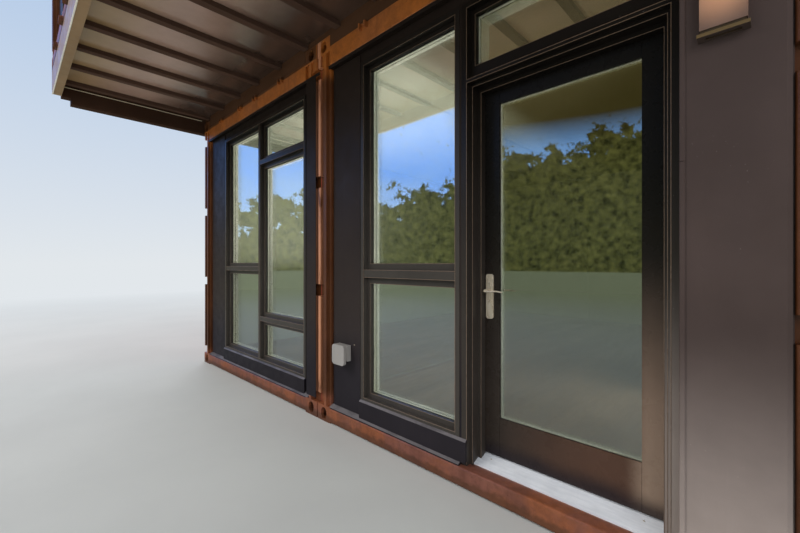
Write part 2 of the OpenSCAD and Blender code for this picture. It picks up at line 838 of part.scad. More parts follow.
module front_edge_beam() {
    color([0.36, 0.32, 0.24]) place()
        translate([left_x, -overhang, soffit_z - edge_beam_drop])
            cube([2 * container_w + pair_gap, edge_beam_t, edge_beam_drop + container_h + deck_h - soffit_z]);
}

module soffit_boards() {
    color([0.2, 0.16, 0.13]) place()
        translate([left_x, edge_beam_t - overhang, soffit_z])
            cube([2 * container_w + pair_gap, overhang - edge_beam_t + ledger_step, soffit_t]);
}

module soffit_ribs() {
    width = 2 * container_w + pair_gap;
    pitch = (width - rib_first - rib_last) / (rib_count - 1);
    color([0.1, 0.08, 0.07]) place() for (i = [0:rib_count - 1])
        translate([left_x + rib_first + i * pitch - rib_w / 2, edge_beam_t - overhang, soffit_z - rib_h])
            cube([rib_w, overhang - edge_beam_t + ledger_step, rib_h]);
}

// Dark band between the header's top and the soffit, between the castings and over them
module front_ledger() {
    over = right_x + container_w + bracket_w;
    color([0.12, 0.1, 0.09]) place() {
        for (x = [left_x, right_x]) translate([x + casting_w, 0, header_top])
            cube([container_w - 2 * casting_w, ledger_back, header_drop]);
        translate([left_x, ledger_step, container_h])
            cube([2 * container_w + pair_gap, ledger_back - ledger_step, soffit_rise + soffit_t]);
        translate([over, ledger_step, container_h])
            cube([x_right - over, ledger_back - ledger_step, soffit_rise]);
    }
}

module left_bay_infill() {
    color([0.1, 0.09, 0.09]) place() translate([left_x, 0, 0]) wide_infill();
}

// Infill of the door's bay: beside, under and over the slim window, and over the door
module right_bay_infill() {
    color([0.1, 0.09, 0.09]) place() translate([right_x, 0, 0]) difference() {
        bay_front();
        translate([slim_x0, infill_setback - eps, window_bottom])
            cube([slim_x1 - slim_x0, infill_t + 2 * eps, window_top - window_bottom]);
        translate([door_x0, infill_setback - eps, sill_top - eps])
            cube([door_unit_w + eps, infill_t + 2 * eps, window_top - sill_top + eps]);
    }
}

// Sloped flashing on the front sill of both bays, clear of the door
module sill_flashing() {
    color([0.09, 0.09, 0.1]) place() {
        translate([left_x, 0, 0]) flashing(post_w, container_w - post_w);
        translate([right_x, 0, 0]) flashing(post_w, door_x0);
    }
}

// Drip trims, aprons, side panels, the strip beside the door frame and the left bay's post cover
module front_trims() {
    color([0.11, 0.1, 0.1]) place() {
        translate([left_x, 0, 0]) {
            drip_trim();
            apron(wide_x0, wide_x1);
            side_panel(post_w, wide_x0 - panel_gap);
        }
        translate([right_x, 0, 0]) {
            drip_trim();
            apron(slim_x0, door_x0 + jamb_face_w);
            side_panel(post_w, slim_x0 - panel_gap);
            translate([slim_x1, frame_y + band_setback, window_bottom])
                cube([joint_w, frame_proud - band_setback, window_top - window_bottom]);
        }
        post_cover();
    }
}

// Thin cover plate on the left bay's right post, under the end of that bay's drip trim
module post_cover() {
    top = header_bottom - drip_h;
    edge = -pair_gap / 2 - cover_back;
    x0 = left_x + container_w - post_w;
    translate([x0, -cover_t, cover_z]) cube([edge - x0, cover_t, top - cover_z]);
    translate([x0 - eps, -cover_t, top]) cube([drip_run_on - x0 + eps, cover_t, drip_h]);
}

module left_window_frame() {
    color([0.08, 0.08, 0.08]) place() translate([left_x, 0, 0])
        window_frame(wide_x0, wide_x1, wide_panes(), wide_bands());
}

module left_window_glass() {
    color([0.5, 0.6, 0.65, 0.4]) place() translate([left_x, 0, 0]) window_glass(wide_panes());
}

module slim_window_frame() {
    color([0.08, 0.08, 0.08]) place() translate([right_x, 0, 0])
        window_frame(slim_x0, slim_x1, slim_panes(), slim_bands());
}

// Glass of the slim window and of the light over the door
module right_bay_glass() {
    color([0.5, 0.6, 0.65, 0.4]) place() translate([right_x, 0, 0])
        window_glass(concat(slim_panes(), [transom_pane()]));
}

module upper_infill() {
    color([0.1, 0.09, 0.09]) place() upper_pair() wide_infill();
}

module upper_window_frames() {
    color([0.08, 0.08, 0.08]) place() upper_pair()
        window_frame(wide_x0, wide_x1, wide_panes(), wide_bands());
}

module upper_window_glass() {
    color([0.5, 0.6, 0.65, 0.4]) place() upper_pair() window_glass(wide_panes());
}

// Part of the doorway, w inside the frame's outer edges, from the depth y0 to y1
module doorway_step(w, y0, y1) {
    translate([door_x0 + w, y0, sill_top - eps])
        cube([door_unit_w - 2 * w, y1 - y0, opening_top + jamb_w - w - sill_top + eps]);
}

// Door frame with its stepped reveal, stop, transom bar and head
module door_frame() {
    depth = leaf_setback + leaf_t;
    stop_back = leaf_setback - stop_gap;
    light_z = transom_face_z + transom_face_h;
    color([0.08, 0.08, 0.08]) place() translate([right_x, frame_y, 0]) difference() {
        translate([door_x0, 0, sill_top]) cube([door_unit_w, depth, window_top - sill_top]);
        doorway_step(jamb_face_w, -eps, jamb_face_d);
        doorway_step(jamb_step_w, -eps, jamb_step_d);
        doorway_step(jamb_w + stop_lap, -eps, depth + eps);
        doorway_step(jamb_w, stop_back, depth + eps);
        translate([door_x0 + jamb_face_w, -eps, light_z])
            cube([door_unit_w - 2 * jamb_face_w, bead_setback + eps, window_top - frame_w - light_z]);
        pane_cut(transom_pane(), depth);
        translate([container_w - casting_w, -eps, sill_top - eps])
            cube([casting_w, depth + 2 * eps, casting_h - sill_top + eps]);
    }
}

// Sloped threshold under the leaf, between the jambs and then between the stops
module threshold() {
    back = leaf_y + leaf_t;
    nose = leaf_y - threshold_reach;
    nose_h = 8;
    rise = 2;
    stop_w = jamb_w + stop_lap;
    color([0.7, 0.71, 0.73]) place() translate([right_x, 0, 0]) difference() {
        translate([door_x0 + jamb_step_w, 0, 0])
            rotate([90, 0, 90]) linear_extrude(height = door_unit_w - 2 * jamb_step_w) polygon([
                [nose, sill_top], [back, sill_top], [back, floor_top + rise], [leaf_y - 4, floor_top + rise],
                [nose, sill_top + nose_h]
            ]);
        for (x = [door_x0, door_x1 - stop_w])
            translate([x, frame_y + jamb_step_d, sill_top - eps]) cube([stop_w, back, floor_top]);
    }
}

// Middles of the three hinges, as heights
function hinge_heights() = [leaf_bottom + 180, (leaf_bottom + leaf_top) / 2, leaf_top - 180];

// Knuckle of a hinge with the tab that holds it to the frame (side 1) or the leaf (side -1)
module knuckle(z, h, side) {
    translate([hinge_x, hinge_y, z]) cylinder(r = barrel_r, h = h);
    translate([side == 1 ? hinge_x : hinge_x - 34, leaf_y + leaf_t, z]) cube([34, 4, h]);
    translate([side == 1 ? hinge_x : hinge_x - 6, leaf_y + leaf_t, z]) cube([6, barrel_r + 2, h]);
}

// Outer knuckles and pins of the hinges, on the inside of the right jamb
module door_hinges() {
    third = barrel_h / 3;
    color([0.55, 0.55, 0.55]) place() translate([right_x, 0, 0]) for (z = hinge_heights()) {
        for (dz = [-barrel_h / 2, barrel_h / 2 - third]) knuckle(z + dz, third, 1);
        translate([hinge_x, hinge_y, z - barrel_h / 2]) cylinder(r = barrel_r / 2, h = barrel_h);
    }
}

// Middle knuckle of a hinge, bored for the pin
module leaf_knuckle(z) {
    h = barrel_h / 3 - 2 * running_gap;
    difference() {
        knuckle(z - h / 2, h, -1);
        translate([hinge_x, hinge_y, z - h / 2 - eps])
            cylinder(r = barrel_r / 2 + running_gap, h = h + 2 * eps);
    }
}

module door_leaf() {
    color([0.1, 0.07, 0.06]) place() {
        translate([right_x, 0, 0]) for (z = hinge_heights()) leaf_knuckle(z);
        leaf_body();
    }
}

// Stiles and rails of the leaf, with the groove for its glass
module leaf_body() {
    translate([right_x + leaf_x0, leaf_y, leaf_bottom]) difference() {
        cube([leaf_w, leaf_t, leaf_h]);
        translate([stile_w, -eps, bottom_rail_leaf_h])
            cube([leaf_w - 2 * stile_w, leaf_t + 2 * eps, leaf_h - bottom_rail_leaf_h - top_rail_leaf_h]);
        translate([stile_w - 10, (leaf_t - glass_t) / 2, bottom_rail_leaf_h - 10])
            cube([leaf_w - 2 * stile_w + 20, glass_t, leaf_h - bottom_rail_leaf_h - top_rail_leaf_h + 20]);
        for (x = [stile_w, leaf_w - stile_w]) translate([x - leaf_joint_w / 2, -eps, 0]) {
            translate([0, 0, -eps]) cube([leaf_joint_w, leaf_joint_w + eps, bottom_rail_leaf_h + 2 * eps]);
            translate([0, 0, leaf_h - top_rail_leaf_h - eps])
                cube([leaf_joint_w, leaf_joint_w + eps, top_rail_leaf_h + 2 * eps]);
        }
        translate([lever_backset, -eps, lever_z - leaf_bottom]) rotate([-90, 0, 0])
            cylinder(r = lever_r + lever_hub + 3, h = leaf_t + 2 * eps);
    }
}

module door_glass() {
    c = 0.3;
    color([0.5, 0.6, 0.65, 0.4]) place() translate([right_x + leaf_x0, leaf_y, leaf_bottom])
        translate([stile_w - 10 + c, (leaf_t - glass_t) / 2 + c, bottom_rail_leaf_h - 10 + c])
            cube([
                leaf_w - 2 * stile_w + 20 - 2 * c, glass_t - 2 * c,
                leaf_h - bottom_rail_leaf_h - top_rail_leaf_h + 20 - 2 * c
            ]);
}

// Long plates with rounded corners on both faces of the leaf, with the key cylinder
module handle_plates() {
    x = plate_w / 2 - plate_r;
    z = plate_l / 2 - plate_r;
    color([0.66, 0.65, 0.62]) place() translate([right_x + lever_x, 0, lever_z - lever_above])
        for (face = [0, 1]) translate([0, leaf_y - plate_t + face * (leaf_t + plate_t), 0]) {
            rotate([-90, 0, 0]) linear_extrude(height = plate_t) difference() {
                union() {
                    square([plate_w, 2 * z], center = true);
                    square([2 * x, plate_l], center = true);
                    for (sx = [-x, x], sz = [-z, z]) translate([sx, sz]) circle(r = plate_r);
                }
                translate([0, -lever_above]) circle(r = lever_r + lever_hub + running_gap);
            }
            translate([0, -3 + face * 3, -key_below]) rotate([-90, 0, 0]) cylinder(r = 9, h = plate_t + 3);
        }
}

// Lever on both faces with its spindle through the leaf. The grip is an arc that bows down.
module lever_handle() {
    front = leaf_y - lever_reach;
    back = leaf_y + leaf_t + lever_reach;
    turn = 2 * atan(2 * lever_bow / lever_l);
    arc_r = lever_l / 2 / sin(turn);
    color([0.66, 0.65, 0.62]) place() translate([right_x + lever_x, 0, lever_z]) {
        translate([0, front - lever_r - lever_hub, 0]) rotate([-90, 0, 0])
            cylinder(r = lever_r + lever_hub, h = back - front + 2 * (lever_r + lever_hub));
        for (y = [front, back])
            translate([lever_l / 2, y, arc_r * cos(turn)]) rotate([90, 0, 0]) rotate([0, 0, -90 - turn])
                rotate_extrude(angle = 2 * turn) translate([arc_r, 0]) circle(r = lever_r);
    }
}

// Rounded hood that hangs below its box, with a narrow neck between them
module outlet_cover() {
    inset = 4;
    neck_in = 10;
    hood_back = outlet_hood_d - outlet_d;
    box_z = outlet_hang;
    box_h = outlet_h - outlet_hang - inset;
    color([0.72, 0.73, 0.72]) place() translate([right_x + outlet_x, frame_y, outlet_z]) {
        translate([inset, hood_back + outlet_gap_d, box_z])
            cube([outlet_w - 2 * inset, -hood_back - outlet_gap_d, box_h]);
        translate([neck_in, hood_back - eps, box_z + neck_in - inset])
            cube([outlet_w - 2 * neck_in, outlet_gap_d + 2 * eps, box_h - 2 * (neck_in - inset)]);
        translate([0, hood_back, 0]) rotate([90, 0, 0]) linear_extrude(height = outlet_hood_d) union() {
            translate([outlet_r, 0]) square([outlet_w - 2 * outlet_r, outlet_h]);
            translate([0, outlet_r]) square([outlet_w, outlet_h - 2 * outlet_r]);
            for (x = [outlet_r, outlet_w - outlet_r], z = [outlet_r, outlet_h - outlet_r])
                translate([x, z]) circle(r = outlet_r);
        }
    }
}

// Flat box light on a neck and a wider foot with an opening in its underside
module wall_light() {
    neck_in = 3;
    neck_h = 12;
    lip = 6.5;
    lip_h = 12;
    lens_in = 14;
    color([0.3, 0.2, 0.13]) place()
        translate([right_x + container_w - post_w + light_x, -corner_panel_t - light_d, light_z]) {
            difference() {
                translate([-lip, -lip, 0]) cube([light_w + 2 * lip, light_d + lip, lip_h]);
                translate([lens_in, lens_in - lip, -eps])
                    cube([light_w - 2 * lens_in, light_d + lip - 2 * lens_in, lip_h / 2 + eps]);
            }
            translate([neck_in, neck_in, lip_h - eps])
                cube([light_w - 2 * neck_in, light_d - neck_in, neck_h + 2 * eps]);
            translate([0, 0, lip_h + neck_h]) cube([light_w, light_d, light_h - lip_h - neck_h]);
        }
}

// Flat panel over the right post and the gap beside it, with a bead and a folded edge, and a
// flange behind the fold that closes the gap to the end post
module corner_panel() {
    out = corner_panel_t + corner_bead_out;
    chamfer = 3;
    top = soffit_z - bracket_drop;
    flange_y = [post_edge_r + 2, notch_d];
    color([0.27, 0.23, 0.21]) place() translate([right_x + container_w - post_w, 0, 0]) {
        difference() {
            linear_extrude(height = top) polygon([
                [0, 0], [0, chamfer - out], [chamfer, -out], [corner_bead_w - chamfer, -out],
                [corner_bead_w, chamfer - out], [corner_bead_w, -corner_panel_t],
                [corner_panel_w - corner_fold_w, -corner_panel_t], [corner_panel_w, -corner_panel_t / 3],
                [corner_panel_w, 0]
            ]);
            translate([-eps, -out - eps, corner_joint_z])
                cube([corner_bead_w + eps, corner_bead_out + eps, 2]);
        }
        translate([corner_panel_w - corner_fold_w, -eps, 0])
            cube([corner_fold_w, flange_y[1] + eps, top]);
        translate([corner_panel_w - eps, flange_y[0], 0])
            cube([end_post_gap + eps, flange_y[1] - flange_y[0], top]);
    }
}

// Last post of the row, next to the corner panel, with a rounded edge and hinge recesses
module end_post() {
    r = post_edge_r;
    color([0.55, 0.24, 0.07]) place() translate([x_right - end_post_w, 0, 0]) difference() {
        linear_extrude(height = container_h) union() {
            translate([r, r]) circle(r = r);
            translate([r, 0]) square([end_post_w - r, post_d]);
            translate([0, r]) square([r + eps, post_d - r]);
        }
        hinge_recesses();
    }
}

ground_left_front_frame();
ground_right_front_frame();
ground_rear_frames();
ground_left_wall();
ground_right_wall();
ground_rear_walls();
ground_middle_rails();
ground_floors();
ground_roofs();
upper_front_frames();
upper_rear_frames();
upper_left_wall();
upper_right_wall();
upper_rear_walls();
upper_middle_rails();
upper_floors();
upper_roofs();
deck_beams();
side_brackets();
front_edge_beam();
soffit_boards();
soffit_ribs();
front_ledger();
left_bay_infill();
right_bay_infill();
sill_flashing();
front_trims();
left_window_frame();
left_window_glass();
slim_window_frame();
right_bay_glass();
upper_infill();
upper_window_frames();
upper_window_glass();
door_frame();
threshold();
door_hinges();
door_leaf();
door_glass();
handle_plates();
lever_handle();
outlet_cover();
wall_light();
corner_panel();
end_post();
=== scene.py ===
import json
import math

import bmesh
import bpy
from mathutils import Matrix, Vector


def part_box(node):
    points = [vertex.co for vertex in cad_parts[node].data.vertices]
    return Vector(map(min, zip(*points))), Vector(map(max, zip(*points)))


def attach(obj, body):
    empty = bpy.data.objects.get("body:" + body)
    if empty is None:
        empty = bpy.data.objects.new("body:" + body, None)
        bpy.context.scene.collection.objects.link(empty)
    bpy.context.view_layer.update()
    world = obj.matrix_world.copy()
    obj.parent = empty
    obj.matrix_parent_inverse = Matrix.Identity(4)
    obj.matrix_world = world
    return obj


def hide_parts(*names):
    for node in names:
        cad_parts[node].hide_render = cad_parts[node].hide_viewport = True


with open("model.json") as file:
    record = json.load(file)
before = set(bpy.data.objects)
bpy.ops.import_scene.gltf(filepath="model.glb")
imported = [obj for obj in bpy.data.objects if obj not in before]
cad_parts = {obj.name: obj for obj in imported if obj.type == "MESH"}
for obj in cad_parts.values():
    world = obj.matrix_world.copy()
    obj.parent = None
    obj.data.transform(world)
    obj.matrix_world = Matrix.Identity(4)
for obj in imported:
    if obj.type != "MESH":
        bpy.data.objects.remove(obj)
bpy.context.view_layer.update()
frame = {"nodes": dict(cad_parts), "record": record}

nodes = frame["nodes"]
scene = bpy.context.scene

# Sizes of the source that places are worked out from, in mm
CONTAINER_W, CONTAINER_H, PAIR_GAP = 2438, 2896, 12
LEFT_X, RIGHT_X = -PAIR_GAP / 2 - CONTAINER_W, PAIR_GAP / 2
OVERHANG, DECK_H = 1385, 140
UPPER_Z = CONTAINER_H + DECK_H

# Where the model's origin lies in the source's own frame, which starts at the front's middle, in metres
ORIGIN_X, ORIGIN_Y = 0.076, 2.3235

# Levels that materials change at, in metres: one between the storeys, and the underside of a roof
STOREY_LEVEL, ROOF_UNDERSIDE = 2.96, 2.826


def at(x, y, z):
    """A point of the source's own frame, given in mm, in the model's frame in metres."""
    return Vector((x / 1000 - ORIGIN_X, y / 1000 - ORIGIN_Y, z / 1000))


# Camera, as found from the photo's vanishing points
PHOTO_W, SENSOR_W = 800, 36.0
FOCAL_PX, SHIFT_PX = 385.0, -2.5
CAMERA_PLACE, HEADING = (2550, -1680, 1190), math.radians(44.5)
cam_data = bpy.data.cameras.new("camera")
cam = bpy.data.objects.new("camera", cam_data)
scene.collection.objects.link(cam)
cam_data.sensor_width = SENSOR_W
cam_data.lens = FOCAL_PX / PHOTO_W * SENSOR_W
cam_data.shift_y = SHIFT_PX / PHOTO_W
cam_data.clip_start = 0.05
cam_data.clip_end = 200
cam.location = at(*CAMERA_PLACE)
look = Vector((-math.sin(HEADING), math.cos(HEADING), 0))
cam.rotation_mode = "QUATERNION"
cam.rotation_quaternion = look.to_track_quat("-Z", "Y")
scene.camera = cam


# Node helpers
class Tree:
    """A node tree with short calls for the nodes used most. follows names the coordinates of its
    textures, and easing says how its ramps turn from one value to the other."""

    def __init__(self, tree, follows="Object", easing="SMOOTHSTEP"):
        self.tree = tree
        self.easing = easing
        self.coord = self.node("TexCoord", {}).outputs[follows]

    def put(self, socket, value):
        """Links a socket to another one, or sets it to a number, a vector or a colour."""
        if isinstance(value, bpy.types.NodeSocket):
            self.tree.links.new(value, socket)
        elif socket.type == "RGBA" and len(value) == 3:
            socket.default_value = (*value, 1.0)
        else:
            socket.default_value = value

    def node(self, kind, inputs, **settings):
        """A new node with its own settings. inputs maps names or numbers to values or sockets."""
        made = self.tree.nodes.new("ShaderNode" + kind)
        for key, value in settings.items():
            setattr(made, key, value)
        for key, value in inputs.items():
            self.put(made.inputs[key], value)
        return made

    def noise(self, scale, detail=4.0, rough=0.6, distort=0.0, stretch=(1, 1, 1)):
        place = self.node("Mapping", {"Vector": self.coord, "Scale": stretch}).outputs["Vector"]
        inputs = {"Vector": place, "Scale": scale, "Detail": detail, "Roughness": rough,
                  "Distortion": distort}
        return self.node("TexNoise", inputs).outputs["Fac"]

    def ramp(self, value, lo, hi, a=0.0, b=1.0):
        """a up to lo, b from hi on, and in between a turn from a to b."""
        inputs = {"Value": value, "From Min": lo, "From Max": hi, "To Min": a, "To Max": b}
        return self.node("MapRange", inputs, interpolation_type=self.easing).outputs["Result"]

    def fall(self, value, lo, hi):
        """1 up to lo and 0 from hi on."""
        return self.ramp(value, lo, hi, 1.0, 0.0)

    def mix(self, fac, a, b, mode="MIX"):
        return self.node("Mix", {0: fac, 6: a, 7: b}, data_type="RGBA", blend_type=mode).outputs[2]

    def mix_shaders(self, fac, a, b):
        return self.node("MixShader", {0: fac, 1: a.outputs[0], 2: b.outputs[0]})

    def math(self, operation, a, b):
        return self.node("Math", {0: a, 1: b}, operation=operation).outputs[0]

    def total(self, a, b):
        return self.math("ADD", a, b)

    def both(self, a, b):
        """Where two masks meet, or a mask made weaker by a number."""
        return self.math("MULTIPLY", a, b)

    def rest(self, mask):
        return self.math("SUBTRACT", 1.0, mask)

    def between(self, value, lo, hi, soft=0.004):
        """1 where the value lies between lo and hi."""
        return self.both(self.ramp(value, lo - soft, lo + soft), self.fall(value, hi - soft, hi + soft))

    def axis(self, name):
        return self.node("SeparateXYZ", {0: self.coord}).outputs[name]


class Paint(Tree):
    """A material on the Principled BSDF, with calls for places in the source's own frame."""

    def __init__(self, name):
        self.mat = bpy.data.materials.new(name)
        self.mat.use_nodes = True
        super().__init__(self.mat.node_tree)
        self.bsdf = self.tree.nodes["Principled BSDF"]

    def surface(self, colour, rough, **others):
        """Sets colour, roughness and other inputs, whose names have _ for a space."""
        for key, value in {"Base Color": colour, "Roughness": rough, **others}.items():
            self.put(self.bsdf.inputs[key.replace("_", " ")], value)

    def bump(self, height, strength, distance, edge_radius=0.0):
        """Bump from a height, on edges that are rounded by edge_radius."""
        inputs = {"Height": height, "Strength": strength, "Distance": distance}
        if edge_radius:
            inputs["Normal"] = self.node("Bevel", {"Radius": edge_radius}, samples=6).outputs["Normal"]
        self.put(self.bsdf.inputs["Normal"], self.node("Bump", inputs).outputs["Normal"])

    def facing_up(self, lo, hi):
        """Grows as a face turns up, from lo to hi of its normal's Z."""
        normal = self.node("NewGeometry", {}).outputs["Normal"]
        return self.ramp(self.node("SeparateXYZ", {0: normal}).outputs["Z"], lo, hi)

    def right(self):
        """Distance in metres to the right of the joint between the containers."""
        return self.total(self.axis("X"), ORIGIN_X)

    def across(self):
        """Distance in metres from that joint, to either side."""
        return self.node("Math", {0: self.right()}, operation="ABSOLUTE").outputs[0]

    def depth(self):
        """Distance in metres behind the ground storey's front."""
        return self.total(self.axis("Y"), ORIGIN_Y)

    def if_upper(self, value):
        """The value on the upper storey, and 0 below it."""
        return self.ramp(self.axis("Z"), STOREY_LEVEL - 0.001, STOREY_LEVEL + 0.001, 0.0, value)

    def storey_z(self):
        """Height in metres above the foot of the storey's containers."""
        return self.math("SUBTRACT", self.axis("Z"), self.if_upper(UPPER_Z / 1000))

    def behind_front(self):
        """Distance in metres behind the front of the storey that the point lies in."""
        return self.total(self.depth(), self.if_upper(OVERHANG / 1000))


def srgb(r, g, b):
    """Linear colour from 8-bit sRGB values."""
    out = []
    for v in (r, g, b):
        v /= 255
        out.append(v / 12.92 if v <= 0.04045 else ((v + 0.055) / 1.055) ** 2.4)
    return tuple(out)


def shade(colour, share):
    """A colour darkened to a share of itself."""
    return tuple(c * share for c in colour)


# Container paint
LINING = srgb(200, 203, 182)
CHIP_TONE = srgb(196, 150, 120)


def stained_foot(s, colour, at_sill):
    """Darker paint low on the posts, and a blush and dirt splashed on the sills."""
    low_post = s.between(s.axis("Z"), 0.22, 0.6, 0.06)
    colour = s.mix(low_post, colour, s.mix(0.35, colour, srgb(30, 12, 4)))
    blush = s.both(at_sill, s.ramp(s.noise(2.6, 6, 0.65), 0.42, 0.6))
    colour = s.mix(s.both(blush, 0.75), colour, srgb(124, 80, 72))
    splash = s.total(s.storey_z(), s.ramp(s.noise(14, 6, 0.7), 0.3, 0.7, -0.014, 0.014))
    return s.mix(s.ramp(splash, 0.035, 0.065, 0.75, 0.0), colour, srgb(78, 50, 34))


def weathered(s, colour, patch, faded, rust):
    """Faded patches, rust in fine grains, streaks and blots, and pale chips."""
    fine = s.ramp(s.noise(26, 7, 0.72, 0.4), 0.36, 0.66)
    streak = s.ramp(s.noise(9, 5, 0.6, 0.3, (1, 1, 0.07)), 0.42, 0.72)
    blot = s.both(s.ramp(s.noise(60, 7, 0.72), 0.6, 0.67), s.ramp(s.noise(4.5), 0.5, 0.6))
    chip = s.both(s.ramp(s.noise(95), 0.72, 0.75), s.ramp(s.noise(6, 3), 0.5, 0.62))
    layers = [(patch, 0.4, s.mix(0.5, colour, faded)), (fine, 0.3, rust), (streak, 0.35, rust),
              (blot, 0.8, shade(rust, 0.5)), (chip, 0.7, CHIP_TONE)]
    for mask, amount, tone in layers:
        colour = s.mix(s.both(mask, amount), colour, tone)
    return colour


def edge_highlight_and_dark_head(s, colour, lo, hi, tone):
    """A pale strip from lo to hi on the front of the post beside the joint, broken up by noise: a painted
    highlight where the post's rounded edge catches the light. Also a dark tone over the left bay's header."""
    # Painted highlight: a pale strip where the post's rounded front edge catches the light
    strip = s.both(s.between(s.right(), lo, hi, 0.003), s.ramp(s.storey_z(), 0.115, 0.13))
    front = s.fall(s.behind_front(), 0.03, 0.034)
    highlight_breakup = s.ramp(s.noise(11, 6, 0.7, 0.2, (1, 1, 0.25)), 0.3, 0.5)
    colour = s.mix(s.both(s.both(strip, front), s.both(highlight_breakup, 0.8)), colour, tone)
    over_header = s.both(s.between(s.axis("Z"), 2.79, 2.95), s.ramp(s.axis("X"), -0.1, -0.085, 0.8, 0.0))
    return s.mix(over_header, colour, srgb(60, 38, 22))


def lined(s, colour):
    """Lining on the room's faces: pale on ceilings, with painted shade that darkens them in the right bay and
    darkens the walls, and brown on faces that look up. It ends at the roof's underside, and 40 mm higher at
    the joint."""
    inside = s.both(s.fall(s.across(), 2.355, 2.36), s.between(s.behind_front(), 0.13, 5.96))
    up = s.facing_up(0.4, 0.6)
    roof_top = s.both(up, s.ramp(s.storey_z(), 2.5, 2.6))
    inside = s.both(inside, s.rest(roof_top))
    in_joint = s.ramp(s.across(), 0.03, 0.031, 0.04, 0.0)
    under_roof = s.math("SUBTRACT", s.storey_z(), in_joint)
    inside = s.both(inside, s.fall(under_roof, ROOF_UNDERSIDE + 0.002, ROOF_UNDERSIDE + 0.006))
    not_ceiling = s.facing_up(-0.6, -0.4)
    lining = s.mix(s.ramp(s.noise(3, 5), 0.3, 0.7), LINING, shade(LINING, 0.93))
    # Painted shade: a darker copy of the lining on the walls
    lining = s.mix(not_ceiling, lining, shade(LINING, 0.6))
    # Painted shade: darker ceilings in the deeper right bay
    deep = s.both(s.ramp(s.axis("X"), 0.1, 0.6), s.rest(not_ceiling))
    lining = s.mix(deep, lining, srgb(104, 96, 74))
    return s.mix(inside, colour, s.mix(up, lining, srgb(118, 94, 72)))


def container_paint(name, high, mid, low, faded, rust, room=False, pale_edge=None):
    """Weathered container paint, with its own tone at the header, the posts and the sill. pale_edge is the
    start, end and tone of a painted highlight strip on a post's rounded edge, and paint that has one is
    stained at its foot. room adds the lining inside."""
    s = Paint(name)
    wander = s.total(s.storey_z(), s.ramp(s.noise(2.2, 5), 0.3, 0.7, -0.05, 0.05))
    at_head, at_post = s.ramp(wander, 2.56, 2.68), s.ramp(wander, 0.14, 0.24)
    patch = s.ramp(s.noise(1.6, 6, 0.65), 0.35, 0.68)
    colour = s.mix(at_head, s.mix(at_post, low, mid), high)
    if pale_edge:
        colour = stained_foot(s, colour, s.rest(at_post))
    colour = weathered(s, colour, patch, faded, rust)
    if pale_edge:
        colour = edge_highlight_and_dark_head(s, colour, *pale_edge)
    if room:
        colour = lined(s, colour)
    s.surface(colour, s.ramp(patch, 0, 1, 0.42, 0.62))
    s.bump(s.mix(0.35, s.noise(55, 6, 0.7), s.noise(7, 3, 0.5)), 0.22, 0.004, 0.003)
    return s.mat


# Coated sheet, metals and boards
def pale_inside(s, colour, start):
    """Lining colour further than start behind the front, except in the door's jambs."""
    inner = s.both(s.ramp(s.behind_front(), start, start + 0.001), s.fall(s.across(), 2.39, 2.4))
    doorway = s.both(s.between(s.axis("X"), 1.25, 2.25), s.fall(s.axis("Z"), 2.17, 2.18))
    jamb = s.both(doorway, s.fall(s.behind_front(), 0.199, 0.2))
    return s.mix(s.both(inner, s.rest(jamb)), colour, LINING)


def dusty(s, colour, amount):
    """Dust on low faces that look up."""
    flat = s.both(s.facing_up(0.4, 0.7), s.ramp(s.axis("Z"), 0.5, 0.9, amount, 0.0))
    flat = s.both(flat, s.ramp(s.noise(9, 6, 0.65, 0.0, (0.4, 1, 1)), 0.35, 0.6, 0.45, 1.0))
    return s.mix(flat, colour, srgb(116, 111, 112))


def trim_paint(name, high, low, rough=0.38, speck=(0.4, 0.36, 0.33), span=(0.5, 2.3), pale_behind=None,
               dust=0.0, sheen=0.5, ior=1.5, painted_reflection=(), foot=None, vary=0.07):
    """Satin coated sheet: one colour high up and one low down, a painted shade under the canopy and a painted
    reflection of the lit ground low down, with faint cloudiness, specks, wiping marks and dust. Faces further
    than pale_behind from the front are pale. foot is a colour near the ground and the heights between which
    it fades out. The tones round the door's foot, each with the X between which it grows, are a painted
    reflection of the lit ground."""
    s = Paint(name)
    cloud = s.ramp(s.noise(2.3, 5), 0.3, 0.7, 0.9, 1.1)
    wipe = s.ramp(s.noise(7, 5, 0.6, 0.6, (1, 1, 0.12)), 0.45, 0.75)
    # Painted shade and reflection: darker high up in the canopy's shade, paler low down where the sheet
    # mirrors the lit ground
    colour = s.mix(s.ramp(s.storey_z(), *span), low, high)
    # Painted reflection of the lit ground round the door's foot
    for tone, start, end in painted_reflection:
        grown = s.both(s.ramp(s.axis("X"), start, end), s.fall(s.axis("Z"), 0.2, 1.25))
        colour = s.mix(grown, colour, tone)
    if foot:
        tone, lo, hi = foot
        edge = s.total(s.axis("Z"), s.ramp(s.noise(5, 3, 0.5), 0.3, 0.7, -0.01, 0.01))
        colour = s.mix(s.ramp(edge, lo, hi, 0.85, 0.0), colour, tone)
    specks = s.both(s.ramp(s.noise(140, 3), 0.7, 0.76), s.ramp(s.noise(3, 3), 0.45, 0.7))
    colour = s.mix(s.both(specks, 0.5), colour, speck)
    brightness = s.total(cloud, s.both(wipe, 0.08))
    colour = s.node("HueSaturation", {"Color": colour, "Value": brightness}).outputs["Color"]
    if dust:
        colour = dusty(s, colour, dust)
    if pale_behind:
        colour = pale_inside(s, colour, pale_behind)
    rough_now = s.ramp(s.noise(12), 0.3, 0.7, rough - vary, rough + vary)
    s.surface(colour, rough_now, Specular_IOR_Level=sheen, IOR=ior)
    s.bump(s.noise(160), 0.06, 0.001, 0.0015)
    return s.mat


def plain_trim(name, colour, rough, **finish):
    """Coated sheet of one colour at all heights."""
    return trim_paint(name, colour, colour, rough, **finish)


def shaded_steel(name, colour):
    """Steel under the canopy, which hardly mirrors."""
    return plain_trim(name, colour, 0.5, sheen=0.1, ior=1.1, vary=0.04)


